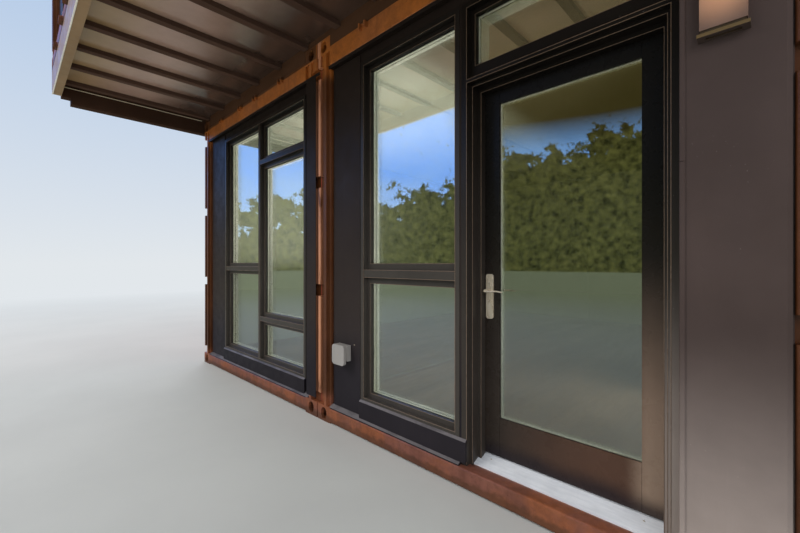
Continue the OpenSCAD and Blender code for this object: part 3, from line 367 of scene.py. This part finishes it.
def plain_metal(name, main, light, rough, metallic, brush, edge_radius=0.001):
    """Brushed metal with smudges. brush stretches its grain."""
    s = Paint(name)
    grain = s.noise(90, 5, 0.6, 0.0, brush)
    smudge = s.ramp(s.noise(5, 5, 0.65), 0.4, 0.7)
    colour = s.mix(s.both(smudge, 0.3), s.mix(s.ramp(grain, 0.3, 0.7), main, light), shade(main, 0.6))
    rough_now = s.ramp(s.mix(0.4, grain, smudge), 0.3, 0.7, rough - 0.07, rough + 0.1)
    s.surface(colour, rough_now, Metallic=metallic)
    s.bump(grain, 0.08, 0.0006, edge_radius)
    return s.mat


BOARD_L, BOARD_W, BOARD_GAP, BOARD_OFFSET = 1.2, 0.14, 0.0015, 0.37


def floor_boards():
    """Oiled boards that run front to back."""
    s = Paint("floor_boards")
    turned = s.node("Mapping", {"Vector": s.coord, "Rotation": (0, 0, math.radians(90))})
    inputs = {"Vector": turned.outputs["Vector"], "Scale": 1.0, "Brick Width": BOARD_L,
              "Row Height": BOARD_W, "Mortar Size": BOARD_GAP, "Color1": srgb(142, 116, 92),
              "Color2": srgb(118, 94, 72), "Mortar": srgb(52, 40, 30)}
    plank = s.node("TexBrick", inputs, offset=BOARD_OFFSET)
    grain = s.noise(70, 6, 0.65, 0.3, (1, 0.06, 1))
    colour = s.mix(s.ramp(grain, 0.3, 0.75, 0.0, 0.6), plank.outputs["Color"], srgb(92, 70, 52))
    s.surface(colour, s.ramp(grain, 0.3, 0.7, 0.4, 0.55))
    s.bump(s.mix(0.5, grain, plank.outputs["Fac"]), 0.15, 0.001)
    return s.mat


# Places on the wall light in metres: the middle and radius of a painted pool of lamp light, the top of its
# foot, and the rim
GLOW_X, GLOW_Z, GLOW_R = 2.421, 2.085, 0.13
LIGHT_FOOT_Z, RIM_Z, RIM_DEPTH = 1.97, 1.9575, -0.0555


def light_paint():
    """Bronze light box with a painted pool of warm lamp light on its face, painted shade under its foot, and
    a gilt foot.
    """
    s = Paint("light_shade")
    grain = s.ramp(s.noise(8), 0.3, 0.7)
    dx, dz = s.math("SUBTRACT", s.right(), GLOW_X), s.math("SUBTRACT", s.axis("Z"), GLOW_Z)
    squares = s.total(s.both(dx, dx), s.both(dz, dz))
    spread = s.node("Math", {0: squares}, operation="SQRT").outputs[0]
    foot = s.fall(s.axis("Z"), LIGHT_FOOT_Z - 0.001, LIGHT_FOOT_Z + 0.001)
    rim = s.both(s.fall(s.axis("Z"), RIM_Z - 0.0005, RIM_Z + 0.0005),
                 s.fall(s.depth(), RIM_DEPTH - 0.0005, RIM_DEPTH + 0.0005))
    # Painted shade on the foot's underside
    underside = s.both(foot, s.rest(s.facing_up(-0.7, -0.5)))
    colour = s.mix(grain, srgb(112, 88, 76), srgb(120, 95, 82))
    # Painted light: a warm pool of lamp light on the face
    layers = [(s.fall(spread, 0.0, GLOW_R), srgb(214, 156, 118)), (foot, srgb(62, 48, 32)),
              (rim, srgb(100, 81, 51)), (underside, srgb(72, 59, 52))]
    for mask, tone in layers:
        colour = s.mix(mask, colour, tone)
    s.surface(colour, s.ramp(grain, 0, 1, 0.34, 0.46))
    s.bump(s.noise(160), 0.06, 0.001, 0.001)
    return s.mat


def soffit_sheet():
    """Satin bronze boards with painted light: dark in the shade near the facade, paler in the middle where
    the light falls, and olive at the outer edge as a painted reflection of the lit ground. Pale dust specks
    lie all over.
    """
    s = Paint("soffit_bronze")
    cloud = s.ramp(s.noise(2.0, 6, 0.62), 0.32, 0.7)
    inner = s.mix(cloud, srgb(72, 55, 45), srgb(84, 65, 54))
    middle = s.mix(cloud, srgb(160, 131, 114), srgb(176, 145, 128))
    outer = s.mix(cloud, srgb(150, 122, 84), srgb(162, 134, 94))
    # Painted shade near the facade, painted light in the middle, and a painted reflection of the lit ground
    # at the outer edge
    colour = s.mix(s.ramp(s.depth(), -0.75, -0.2), middle, inner)
    colour = s.mix(s.fall(s.depth(), -1.3, -0.8), colour, outer)
    dust = s.both(s.ramp(s.noise(120, 3), 0.7, 0.77), 0.25)
    colour = s.mix(dust, colour, srgb(150, 136, 118))
    s.surface(colour, s.ramp(s.noise(2.5, 3, 0.5), 0.3, 0.7, 0.2, 0.27), Specular_IOR_Level=0.8)
    s.bump(s.noise(3.5, 3, 0.5), 0.03, 0.003)
    return s.mat


def glass_material(name, low, high, alpha):
    """Coated pane: each face mirrors part of the light and lets the rest through straight. Its tint
    turns from low to high with the height."""
    s = Paint(name)
    haze = s.ramp(s.noise(1.4, 3, 0.5), 0.3, 0.7)
    tint = s.mix(s.ramp(s.storey_z(), 1.3, 2.0), low, high)
    colour = s.mix(s.both(haze, 0.06), tint, (1.0, 1.0, 1.0))
    s.surface(colour, s.ramp(haze, 0, 1, 0.0, 0.004), Metallic=1.0, Alpha=alpha)
    s.bump(s.noise(0.9, 2, 0.5), 0.02, 0.004)
    return s.mat


def rubber():
    """Black seals."""
    s = Paint("black_gasket")
    grain = s.noise(220)
    colour = s.mix(s.ramp(grain, 0.3, 0.7), srgb(16, 15, 15), srgb(28, 26, 25))
    s.surface(colour, s.ramp(grain, 0.3, 0.7, 0.5, 0.7))
    s.bump(grain, 0.2, 0.0004)
    return s.mat


# Depths in metres behind the front from which trims, frames and the leaf are pale like the room
PALE_TRIM, PALE_FRAME, PALE_LEAF = 0.1355, 0.1255, 0.2

# One material for each of the record's slots
MATERIALS = {
    "container_orange": container_paint(
        "orange_paint", srgb(182, 104, 40), srgb(88, 47, 18), srgb(150, 86, 54), srgb(150, 96, 60),
        srgb(66, 34, 16), pale_edge=(0.001, 0.046, srgb(212, 146, 108))),
    "container_red": container_paint(
        "red_paint", srgb(180, 80, 56), srgb(186, 84, 60), srgb(168, 74, 54), srgb(204, 112, 84),
        srgb(122, 56, 40), room=True),
    # In the trims, high and low colours are painted shade and reflection, and the tones round the door's foot
    # a painted reflection
    "dark_trim": trim_paint(
        "dark_trim", srgb(40, 32, 27), srgb(56, 48, 45), 0.42, pale_behind=PALE_TRIM, dust=0.9, ior=1.2,
        foot=(srgb(40, 37, 42), 0.35, 0.9)),
    "frame_bronze": trim_paint(
        "frame_bronze", srgb(22, 18, 14), srgb(60, 54, 49), 0.32, pale_behind=PALE_FRAME, sheen=0.22,
        painted_reflection=[(srgb(160, 146, 137), 1.45, 2.2)], vary=0.02),
    "door_bronze": trim_paint(
        "door_bronze", srgb(21, 19, 17), srgb(56, 48, 42), 0.28, pale_behind=PALE_LEAF, span=(0.2, 1.7),
        sheen=0.2, painted_reflection=[(srgb(84, 61, 49), 1.35, 1.95), (srgb(148, 126, 108), 2.0, 2.1)],
        foot=(srgb(40, 36, 39), 0.17, 0.26), vary=0.03),
    "soffit": soffit_sheet(),
    "edge_beam": plain_trim("edge_beam", srgb(148, 119, 84), 0.4, sheen=0.2),
    "deck_steel": trim_paint("deck_steel", srgb(92, 94, 97), srgb(108, 109, 111), 0.5),
    # The corner panel's paler foot is a painted reflection of the lit ground
    "corner_panel": trim_paint(
        "corner_panel", srgb(74, 61, 57), srgb(160, 146, 138), 0.4, (0.6, 0.55, 0.5), (0.1, 1.0), sheen=0.25),
    "floor_wood": floor_boards(),
    "aluminium": plain_metal("aluminium", srgb(244, 246, 250), srgb(230, 233, 238), 0.42, 0.1, (0.1, 1, 1)),
    "nickel": plain_metal("nickel", srgb(236, 222, 200), srgb(214, 196, 168), 0.3, 0.45, (1, 1, 0.1), 0.002),
    "outlet_plastic": plain_trim("outlet_plastic", srgb(157, 152, 147), 0.45),
    "light_shade": light_paint(),
    "glass": glass_material("reflective_glass", (0.88, 0.93, 0.93), (0.91, 0.96, 0.95), 0.25),
}

# Materials of single nodes and of the pieces made here
# The door's glass turns dark olive higher up: a painted reflection of the shaded soffit
DOOR_GLASS = glass_material("door_glass_coat", (0.66, 0.69, 0.66), (0.6, 0.57, 0.4), 0.34)
WINDOW_BRONZE = trim_paint(
    "window_bronze", srgb(29, 25, 21), srgb(67, 62, 57), 0.32, pale_behind=PALE_FRAME, span=(0.9, 2.7),
    sheen=0.22, vary=0.02)
GASKET = rubber()
SPACER = plain_trim("spacer_bar", srgb(248, 246, 222), 0.45)
CREAM = plain_trim("inner_casing", srgb(246, 243, 224), 0.5)
# Frame lips, paler than the frames: a painted highlight on the arrises
ARRIS = trim_paint("frame_arris", srgb(104, 84, 66), srgb(128, 108, 92), 0.3)
DRIP_PAINT = plain_trim("pale_edge", srgb(242, 236, 220), 0.4)
SEALANT = plain_trim("sealant", srgb(244, 228, 196), 0.5)
NODE_MATERIALS = {
    "side_brackets": shaded_steel("bracket_steel", srgb(66, 47, 36)),
    "soffit_ribs": shaded_steel("rib_steel", srgb(82, 62, 51)),
    "front_ledger": shaded_steel("ledger_steel", srgb(82, 57, 40)),
    "left_window_frame": WINDOW_BRONZE,
    "slim_window_frame": WINDOW_BRONZE,
    "upper_window_frames": WINDOW_BRONZE,
}

slot_of = {p["node"]: p["material_slot"] for p in frame["record"]["subparts"]}
for name, obj in nodes.items():
    obj.data.materials.clear()
    obj.data.materials.append(NODE_MATERIALS.get(name, MATERIALS[slot_of[name]]))


# Pieces that the source leaves to this script
def piece(name, bm, material, body="building", smooth=False):
    """Turns a mesh under construction into an object that rides on a body."""
    data = bpy.data.meshes.new(name)
    bm.to_mesh(data)
    bm.free()
    for p in data.polygons:
        p.use_smooth = smooth
    data.materials.append(material)
    o = bpy.data.objects.new(name, data)
    scene.collection.objects.link(o)
    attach(o, body)
    return o


def blocks(name, boxes, material, body="building", bevel=0.0008):
    """One mesh of small blocks with eased edges. A block is a pair of corners in metres."""
    bm = bmesh.new()
    for lo, hi in boxes:
        made = bmesh.ops.create_cube(bm, size=1.0)["verts"]
        for v in made:
            for i in range(3):
                v.co[i] = lo[i] if v.co[i] < 0 else hi[i]
    if bevel:
        bmesh.ops.bevel(bm, geom=bm.edges[:], offset=bevel, segments=1, affect="EDGES")
    return piece(name, bm, material, body)


def islands(node):
    """Lowest and highest corners of each separate solid of a node."""
    bm = bmesh.new()
    bm.from_mesh(nodes[node].data)
    bmesh.ops.remove_doubles(bm, verts=bm.verts[:], dist=1e-5)
    todo, found = set(bm.verts), []
    while todo:
        stack, group = [todo.pop()], []
        while stack:
            v = stack.pop()
            group.append(v.co.copy())
            for e in v.link_edges:
                w = e.other_vert(v)
                if w in todo:
                    todo.remove(w)
                    stack.append(w)
        found.append((Vector(map(min, *group)), Vector(map(max, *group))))
    bm.free()
    return found


def ring(x0, x1, z0, z1, w, y0, y1):
    """Four strips of the width w inside a rectangle, as blocks."""
    return [((x0, y0, z0), (x1, y1, z0 + w)), ((x0, y0, z1 - w), (x1, y1, z1)),
            ((x0, y0, z0 + w), (x0 + w, y1, z1 - w)), ((x1 - w, y0, z0 + w), (x1, y1, z1 - w))]


# Insulating glass: two panes with a pale spacer between them, and black seals at the frame, in metres.
# In the right bay the transom light's glass starts right of TRANSOM_FROM_X
PANE_T = 0.005
SPACER_INSET, SPACER_PLAY = 0.002, 0.0002
SEAL_D, SEAL_PLAY = 0.004, 0.0001
WINDOW_LAP, WINDOW_SEAL_W = 0.0142, 0.0016
DOOR_LAP, DOOR_SEAL_W = 0.0097, 0.0008
TRANSOM_FROM_X = 1.25


def glazing(name, glass_node, lap=WINDOW_LAP, seal_w=WINDOW_SEAL_W, body="building",
            glass=MATERIALS["glass"]):
    """Dresses every light of a glass node and returns the openings. lap is how far the glass lies in
    its groove. The transom light has the door's glass."""
    panes, spacers, seals, found = [], [], [], []
    for lo, hi in islands(glass_node):
        panes += [(lo, (hi.x, lo.y + PANE_T, hi.z)), ((lo.x, hi.y - PANE_T, lo.z), hi)]
        spacers += ring(lo.x + SPACER_INSET, hi.x - SPACER_INSET, lo.z + SPACER_INSET, hi.z - SPACER_INSET,
                        lap, lo.y + PANE_T + SPACER_PLAY, hi.y - PANE_T - SPACER_PLAY)
        opening = (lo.x + lap, hi.x - lap, lo.z + lap, hi.z - lap)
        seals += ring(*opening, seal_w, lo.y - SEAL_D, lo.y - SEAL_PLAY)
        seals += ring(*opening, seal_w, hi.y + SEAL_PLAY, hi.y + SEAL_D)
        found.append(opening)
    sheets = blocks(name + "_panes", panes, glass, body, bevel=0.0004)
    if name == "right_bay":
        sheets.data.materials.append(DOOR_GLASS)
        for face in sheets.data.polygons:
            face.material_index = int(face.center.x > TRANSOM_FROM_X)
    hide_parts(glass_node)
    blocks(name + "_spacers", spacers, SPACER, body, bevel=0.0003)
    blocks(name + "_seals", seals, GASKET, body, bevel=0.0)
    return found


openings = {key: glazing(key, key + "_glass") for key in ("left_window", "right_bay", "upper_window")}
glazing("door_light", "door_glass", DOOR_LAP, DOOR_SEAL_W, "door", DOOR_GLASS)

# Window and door frames of the source, in mm, measured from a container's left side and foot
FRAME_Y, FRAME_W, FRAME_D = 35.0, 31, 100
BEAD_IN, BAND_IN = 38.0, 3.0
WIDE_X0, WIDE_X1, SLIM_X0, SLIM_X1 = 538, 2218, 475, 1310
WINDOW_Z0, WINDOW_Z1 = 240, 2586
LIGHT_Z0, LIGHT_Z1 = WINDOW_Z0 + FRAME_W, WINDOW_Z1 - FRAME_W
MULLION_X = (WIDE_X0 + WIDE_X1) / 2
LEFT_RAIL_Z, LOW_RAIL_Z, HIGH_RAIL_Z, SLIM_RAIL_Z = 1143, 660, 2177, 1124
HALF_MULLION, HALF_RAIL, HALF_SLIM_RAIL = 17.55, 22.62, 26.9

# Entrance door's frame, in mm in the source's own frame. A step is its inset and its depth behind the
# frame's face
DOOR_X0, DOOR_X1 = RIGHT_X + 1324, RIGHT_X + 2294
DOOR_LIP_Z, DOOR_HEAD_Z, TRANSOM_Z = 119, 2188.5, 2174.5
DOOR_STEPS = [(34, 0), (50, 33), (70, 85)]

# Where each storey's fronts lie, as a shift along Y and Z in mm
GROUND, UPPER = (0, 0), (-OVERHANG, UPPER_Z)
STOREY_OF = {"left_window": GROUND, "right_bay": GROUND, "upper_window": UPPER}

# Fine raised lips along the steps of the window and door frames, in metres, paler than the frames as a
# painted highlight on the arrises
LIP_W, LIP_OUT = 0.0028, 0.0008
LIP_W_MM, LIP_OUT_MM = LIP_W * 1000, LIP_OUT * 1000


def lip_ring(x0, x1, z0, z1, y):
    """Lip round an opening, on the face that the opening is cut in, in metres."""
    return ring(x0 - LIP_W, x1 + LIP_W, z0 - LIP_W, z1 + LIP_W, LIP_W, y - LIP_OUT, y)


def lip_bar(x0, x1, z0, z1, y, storey=GROUND):
    """Straight lip between two places given in mm in the source's own frame."""
    dy, dz = storey
    return [(tuple(at(x0, y - LIP_OUT_MM + dy, z0 + dz)), tuple(at(x1, y + dy, z1 + dz)))]


def lip_arch(x0, x1, foot, top, y):
    """Lips on both sides and over the head of an opening given in mm."""
    return (lip_bar(x0 - LIP_W_MM, x0, foot, top, y) + lip_bar(x1, x1 + LIP_W_MM, foot, top, y)
            + lip_bar(x0 - LIP_W_MM, x1 + LIP_W_MM, top, top + LIP_W_MM, y))


def band_lips(x0, x1, z0, z1, storey):
    """Lips along the two long sides of a band."""
    y = FRAME_Y + BAND_IN
    if x1 - x0 > z1 - z0:
        return (lip_bar(x0, x1, z0, z0 + LIP_W_MM, y, storey)
                + lip_bar(x0, x1, z1 - LIP_W_MM, z1, y, storey))
    return (lip_bar(x0, x0 + LIP_W_MM, z0, z1, y, storey)
            + lip_bar(x1 - LIP_W_MM, x1, z0, z1, y, storey))


def frame_lips(x0, x1, bands, storey=GROUND):
    """Lips of one window frame and of its bands."""
    dy, dz = storey
    lo = at(x0 + FRAME_W, FRAME_Y + dy, LIGHT_Z0 + dz)
    hi = at(x1 - FRAME_W, FRAME_Y + dy, LIGHT_Z1 + dz)
    found = lip_ring(lo.x, hi.x, lo.z, hi.z, lo.y)
    for band in bands:
        found += band_lips(*band, storey)
    return found


def wide_lips(side, storey=GROUND):
    """Lips of the wide window in the container whose left side is given."""
    left, right = side + WIDE_X0 + FRAME_W, side + WIDE_X1 - FRAME_W
    before, after = side + MULLION_X - HALF_MULLION, side + MULLION_X + HALF_MULLION
    bands = [(left, before, LEFT_RAIL_Z - HALF_RAIL, LEFT_RAIL_Z + HALF_RAIL),
             (after, right, LOW_RAIL_Z - HALF_RAIL, LOW_RAIL_Z + HALF_RAIL),
             (after, right, HIGH_RAIL_Z - HALF_RAIL, HIGH_RAIL_Z + HALF_RAIL),
             (before, after, LIGHT_Z0, LIGHT_Z1)]
    return frame_lips(side + WIDE_X0, side + WIDE_X1, bands, storey)


slim_x0, slim_x1 = RIGHT_X + SLIM_X0, RIGHT_X + SLIM_X1
slim_band = (slim_x0 + FRAME_W, slim_x1 - FRAME_W, SLIM_RAIL_Z - HALF_SLIM_RAIL, SLIM_RAIL_Z + HALF_SLIM_RAIL)
lips = wide_lips(LEFT_X) + wide_lips(LEFT_X, UPPER) + wide_lips(RIGHT_X, UPPER)
lips += frame_lips(slim_x0, slim_x1, [slim_band])
for key, (dy, dz) in STOREY_OF.items():
    bead_y = at(0, FRAME_Y + BEAD_IN + dy, 0).y
    for opening in openings[key]:
        lips += lip_ring(*opening, bead_y)
for inset, back in DOOR_STEPS:
    lips += lip_arch(DOOR_X0 + inset, DOOR_X1 - inset, DOOR_LIP_Z, DOOR_HEAD_Z - inset, FRAME_Y + back)
face_inset = DOOR_STEPS[0][0]
transom_x0, transom_x1 = DOOR_X0 + face_inset, DOOR_X1 - face_inset
lips += lip_bar(transom_x0, transom_x1, TRANSOM_Z - LIP_W_MM, TRANSOM_Z, FRAME_Y)
lips += lip_arch(transom_x0, transom_x1, TRANSOM_Z - LIP_W_MM, LIGHT_Z1, FRAME_Y)
blocks("frame_lips", lips, ARRIS, bevel=0.0003)

# Pale inner casings behind the window frames, in metres. High lights of the ground storey have none
CASING_D, CASING_W, CASED_BELOW = 0.022, 0.02, 2.2


def casing(name, lights, back):
    """One casing round each light, with its front at the depth back."""
    boxes = []
    for x0, x1, z0, z1 in lights:
        boxes += ring(x0 - CASING_W, x1 + CASING_W, z0 - CASING_W, z1 + CASING_W,
                      CASING_W, back, back + CASING_D)
    blocks(name, boxes, CREAM, bevel=0.001)


for key, (dy, dz) in STOREY_OF.items():
    lights = [light for light in openings[key] if light[2] < CASED_BELOW or dy]
    casing(key + "_casing", lights, at(0, FRAME_Y + FRAME_D + dy, 0).y)


def swept(bm, rings):
    """Closed skin over a row of rings of points."""
    loops = [[bm.verts.new(p) for p in r] for r in rings]
    count = len(loops[0])
    for a, b in zip(loops, loops[1:]):
        for i in range(count):
            bm.faces.new((a[i], a[(i + 1) % count], b[(i + 1) % count], b[i]))
    bm.faces.new(loops[0][::-1])
    bm.faces.new(loops[-1])


# Screws and key slots, with places in mm in the source's own frame. The profile has each ring's share
# of the head's radius and height
SCREW_SIDES = 12
SCREW_PROFILE = [(1.0, 0.0), (1.0, 0.45), (0.8, 0.85), (0.45, 1.0)]


def screws(name, heads, body="building"):
    """One piece of domed screw heads. A head is its place, its radius and how far it stands out, in
    mm, and whether it looks up rather than to the front."""
    bm = bmesh.new()
    for place, radius, out, up in heads:
        x, y, z = at(*place)
        rings = []
        for wide, high in SCREW_PROFILE:
            r, h = radius / 1000 * wide, out / 1000 * high
            loop = []
            for i in range(SCREW_SIDES):
                angle = 2 * math.pi * i / SCREW_SIDES
                u, v = r * math.cos(angle), r * math.sin(angle)
                loop.append((x + u, y + v, z + h) if up else (x + u, y - h, z + v))
            rings.append(loop)
        swept(bm, rings)
    bmesh.ops.recalc_face_normals(bm, faces=bm.faces[:])
    piece(name, bm, MATERIALS["nickel"], body)


LEVER_X, LEVER_Z = 1428.5, 1046
PLATE_Y, PLATE_Z, PLATE_SCREW_DZ = 156, LEVER_Z - 32, 106
KEY_Z, KEY_FACES_Y = PLATE_Z - 26, (152.5, 222)
KEY_SLOT_W, KEY_SLOT_H, KEY_SLOT_D = 1.8, 9, 0.5
THRESHOLD_SCREWS = [(1452, 135, 143.5), (2160, 135, 143.5)]
HOOD_SCREW, KNOB = (306, -31, 541), (414, 35, 618)
screws("threshold_screws", [(place, 4.5, 1.2, True) for place in THRESHOLD_SCREWS])
screws("plate_screws", [((LEVER_X, PLATE_Y, PLATE_Z + dz), 4.2, 1.2, False)
                        for dz in (-PLATE_SCREW_DZ, PLATE_SCREW_DZ)], "door")
key_slots = [(tuple(at(LEVER_X - KEY_SLOT_W / 2, y, KEY_Z - KEY_SLOT_H / 2)),
              tuple(at(LEVER_X + KEY_SLOT_W / 2, y + KEY_SLOT_D, KEY_Z + KEY_SLOT_H / 2)))
             for y in KEY_FACES_Y]
blocks("key_slots", key_slots, GASKET, "door", bevel=0.0)

# Lever: a turned spindle with domed ends and, on each face, a flattened grip with a shallow wave, in
# mm. The spindle has its radius at places along Y, the wave its height along the grip
SPINDLE = [(104.2, 3.0), (104.8, 5.6), (106.5, 7.6), (109, 8.4), (119, 8.0), (124, 6.6), (146, 6.6),
           (150, 8.8), (155.8, 9.0), (219.2, 9.0), (225, 8.8), (229, 6.6), (251, 6.6), (256, 8.0),
           (266, 8.4), (268.5, 7.6), (270.2, 5.6), (270.8, 3.0)]
GRIP_WAVE = [(0, 0), (14, -1.8), (27, -3.2), (43, -2.2), (59, -0.2), (75, -0.6), (90, -3.0), (102.5, -4.6)]
GRIP_YS = (113, 262)
GRIP_DEEP, GRIP_BELLY, GRIP_TALL, GRIP_TAPER = 6.4, 1.4, 5.4, 1.8
TIP_FROM, TIP_LEAST = 0.9, 0.2
TURNS = 20
angles = [2 * math.pi * i / TURNS for i in range(TURNS)]


def spline_value(t, a, b, c, d):
    """Value of a Catmull-Rom curve at the share t of the way from b to c."""
    square, cube = 2 * a - 5 * b + 4 * c - d, 3 * b - a - 3 * c + d
    return 0.5 * (2 * b + (c - a) * t + square * t * t + cube * t ** 3)


def smooth_curve(knots, steps=4):
    """Points along a Catmull-Rom curve through the knots."""
    last = len(knots) - 1
    points = []
    for i in range(last):
        around = [knots[max(0, min(last, i + k))] for k in (-1, 0, 1, 2)]
        for step in range(steps):
            points.append([spline_value(step / steps, *values) for values in zip(*around)])
    return points + [list(knots[last])]


def grip_rings(y, wave):
    """Rings of one grip, which swells in the middle, tapers and closes in a round tip."""
    rings = []
    for i, (x, z) in enumerate(wave):
        share = i / (len(wave) - 1)
        past = max(0.0, (share - TIP_FROM) / (1 - TIP_FROM))
        tip = math.sqrt(max(0.0, 1 - past ** 2)) * (1 - TIP_LEAST) + TIP_LEAST
        deep = (GRIP_DEEP + GRIP_BELLY * math.sin(math.pi * share)) * tip
        tall = (GRIP_TALL - GRIP_TAPER * share) * tip
        rings.append([at(LEVER_X + x, y + deep * math.cos(a), LEVER_Z + z + tall * math.sin(a))
                      for a in angles])
    return rings


bm = bmesh.new()
swept(bm, [[at(LEVER_X + r * math.cos(a), y, LEVER_Z + r * math.sin(a)) for a in angles]
           for y, r in SPINDLE])
for y in GRIP_YS:
    swept(bm, grip_rings(y, smooth_curve(GRIP_WAVE)))
bmesh.ops.recalc_face_normals(bm, faces=bm.faces[:])
lever = piece("waved_lever", bm, MATERIALS["nickel"], "lever", smooth=True)
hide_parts("lever_handle")
screws("outlet_screw", [(HOOD_SCREW, 5, 1.5, False), (KNOB, 4.5, 4, False)])

# Pale drip edge along the front beam's foot, in metres
DRIP_H, DRIP_D, DRIP_PLAY = 0.004, 0.009, 0.0002
lo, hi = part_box("front_edge_beam")
drip = [((lo.x, lo.y, lo.z - DRIP_H), (hi.x, lo.y + DRIP_D, lo.z - DRIP_PLAY))]
blocks("drip_edge", drip, DRIP_PAINT)

# Beads of sealant where the soffit meets the end brackets, in mm
SEAM_W, SEAM_PLAY = 6, 0.2
SEAM_Y0, SEAM_Y1, SEAM_Z0, SEAM_Z1 = -1294, -31, 2921, 2927
seams = [(tuple(at(x + SEAM_PLAY, SEAM_Y0, SEAM_Z0)), tuple(at(x + SEAM_W - SEAM_PLAY, SEAM_Y1, SEAM_Z1)))
         for x in (LEFT_X, RIGHT_X + CONTAINER_W - SEAM_W)]
blocks("soffit_sealant", seams, SEALANT, bevel=0.001)


# Floor, backdrop and light
HAZE = srgb(226, 231, 235)
FLOOR_HALF = 60.0
HAZE_FROM, HAZE_TO = 3.0, 17.0


def pale_floor():
    """Pale floor that fades into haze with the distance. Glossy rays see it dimmer and greener."""
    s = Paint("floor_pale")
    mirrored = s.node("LightPath", {}).outputs["Is Glossy Ray"]
    pale = srgb(205, 205, 201)
    near = s.mix(s.ramp(s.noise(0.8, 6), 0.3, 0.7), pale, shade(pale, 0.94))
    s.surface(s.mix(mirrored, near, (0.4, 0.43, 0.43), "MULTIPLY"), 0.75)
    away = s.node("VectorMath", {0: s.coord}, operation="LENGTH").outputs["Value"]
    haze = s.node("Emission", {"Color": s.mix(mirrored, HAZE, srgb(128, 136, 112))})
    shown = s.mix_shaders(s.ramp(away, HAZE_FROM, HAZE_TO), s.bsdf, haze)
    s.put(s.tree.nodes["Material Output"].inputs["Surface"], shown.outputs[0])
    return s.mat


mesh = bpy.data.meshes.new("floor")
corners = [(x * FLOOR_HALF, y * FLOOR_HALF, 0) for x, y in ((-1, -1), (1, -1), (1, 1), (-1, 1))]
mesh.from_pydata(corners, [], [(0, 1, 2, 3)])
floor = bpy.data.objects.new("floor", mesh)
scene.collection.objects.link(floor)
mesh.materials.append(pale_floor())

world = bpy.data.worlds.new("world")
scene.world = world
world.use_nodes = True
world.node_tree.nodes.clear()
air = Tree(world.node_tree, "Generated", "LINEAR")


def sky(stops, ragged=0.0):
    """Colour that turns upwards from stop to stop, with their heights wandering by ragged."""
    wander = air.ramp(air.noise(7.0, 5.0, 0.5), 0.3, 0.7, -ragged, ragged)
    ramp = air.node("ValToRGB", {"Fac": air.total(air.axis("Z"), wander)})
    elements = ramp.color_ramp.elements
    elements.remove(elements[1])
    elements[0].position = stops[0][0]
    elements[0].color = (*stops[0][1], 1)
    for height, colour in stops[1:]:
        elements.new(height).color = (*colour, 1)
    return ramp.outputs["Color"]


def treetops(colour):
    """Lays treetops over the lower part of a sky, higher towards +X, where it is dark overhead."""
    x, z = air.axis("X"), air.axis("Z")
    rise = air.total(air.total(z, air.ramp(x, -0.9, -0.3, 0.05, -0.15)),
                     air.ramp(air.noise(3.2, 2.0, 0.65), 0.3, 0.7, -0.05, 0.05))
    cover = air.ramp(air.total(air.noise(30.0, 8.0, 0.65), air.ramp(rise, 0.04, 0.19, 0.5, 0.0)), 0.64, 0.7)
    leaves = air.mix(air.ramp(air.noise(70.0, 8.0, 0.65), 0.34, 0.68), srgb(28, 34, 16), srgb(98, 100, 56))
    overhead = air.both(air.ramp(z, 0.27, 0.33), air.ramp(x, -0.58, -0.48))
    return air.mix(overhead, air.mix(cover, colour, leaves), srgb(54, 50, 22))


# The camera sees a pale sky. Glossy and transmission rays see a deeper blue one with treetops, as the
# photo's glass mirrors them. All other rays see one pale blue that lights the scene
seen = sky([(0.0, HAZE), (0.75, srgb(150, 186, 230))])
mirrored = treetops(sky([
    (0.0, srgb(150, 176, 214)), (0.08, srgb(168, 194, 230)), (0.12, srgb(160, 192, 238)),
    (0.24, srgb(118, 169, 250)), (0.45, srgb(104, 156, 244)), (1.0, srgb(70, 104, 180))], 0.04))
seen_air = air.node("Background", {"Color": seen})
mirrored_air = air.node("Background", {"Color": mirrored, "Strength": 1.6})
lit_air = air.node("Background", {"Color": (0.86, 0.93, 1.0), "Strength": 0.62})
ray = air.node("LightPath", {}).outputs
in_mirror = air.math("MAXIMUM", ray["Is Glossy Ray"], ray["Is Transmission Ray"])
shown = air.mix_shaders(ray["Is Camera Ray"], air.mix_shaders(in_mirror, lit_air, mirrored_air), seen_air)
air.node("OutputWorld", {"Surface": shown.outputs[0]})


def area(name, place, target, size, power, colour):
    """Lamp that lights the scene and is seen neither by the camera nor in the glass."""
    data = bpy.data.lights.new(name, "AREA")
    data.shape = "RECTANGLE"
    data.size, data.size_y = size
    data.energy = power
    data.color = colour
    o = bpy.data.objects.new(name, data)
    scene.collection.objects.link(o)
    o.location = place
    o.rotation_mode = "QUATERNION"
    o.rotation_quaternion = (Vector(target) - Vector(place)).to_track_quat("-Z", "Y")
    o.visible_camera = o.visible_glossy = o.visible_transmission = False


WARM, ROOM_WARM = (1.0, 0.97, 0.93), (1.0, 0.98, 0.92)
area("key", (-7, -11, 9), (0, -1, 2), (6, 6), 900, WARM)
area("fill", (9, -9, 5), (1, -1.5, 1.5), (6, 5), 400, (0.98, 0.98, 1.0))
area("left", (-12, 3, 8), (-2.4, 1, 3), (6, 6), 450, (1.0, 0.98, 0.95))
area("room_low", (-0.6, -1.2, 1.1), (-0.6, -1.2, 3), (3.0, 1.4), 62, ROOM_WARM)
area("room_high", (-0.6, -2.5, 4.1), (-0.6, -2.5, 6), (3.0, 1.4), 50, ROOM_WARM)
area("room_side", (2.0, -0.6, 1.3), (0.2, -2.3, 1.3), (0.8, 1.8), 45, (0.88, 1.0, 0.96))

scene.view_settings.view_transform = "Standard"
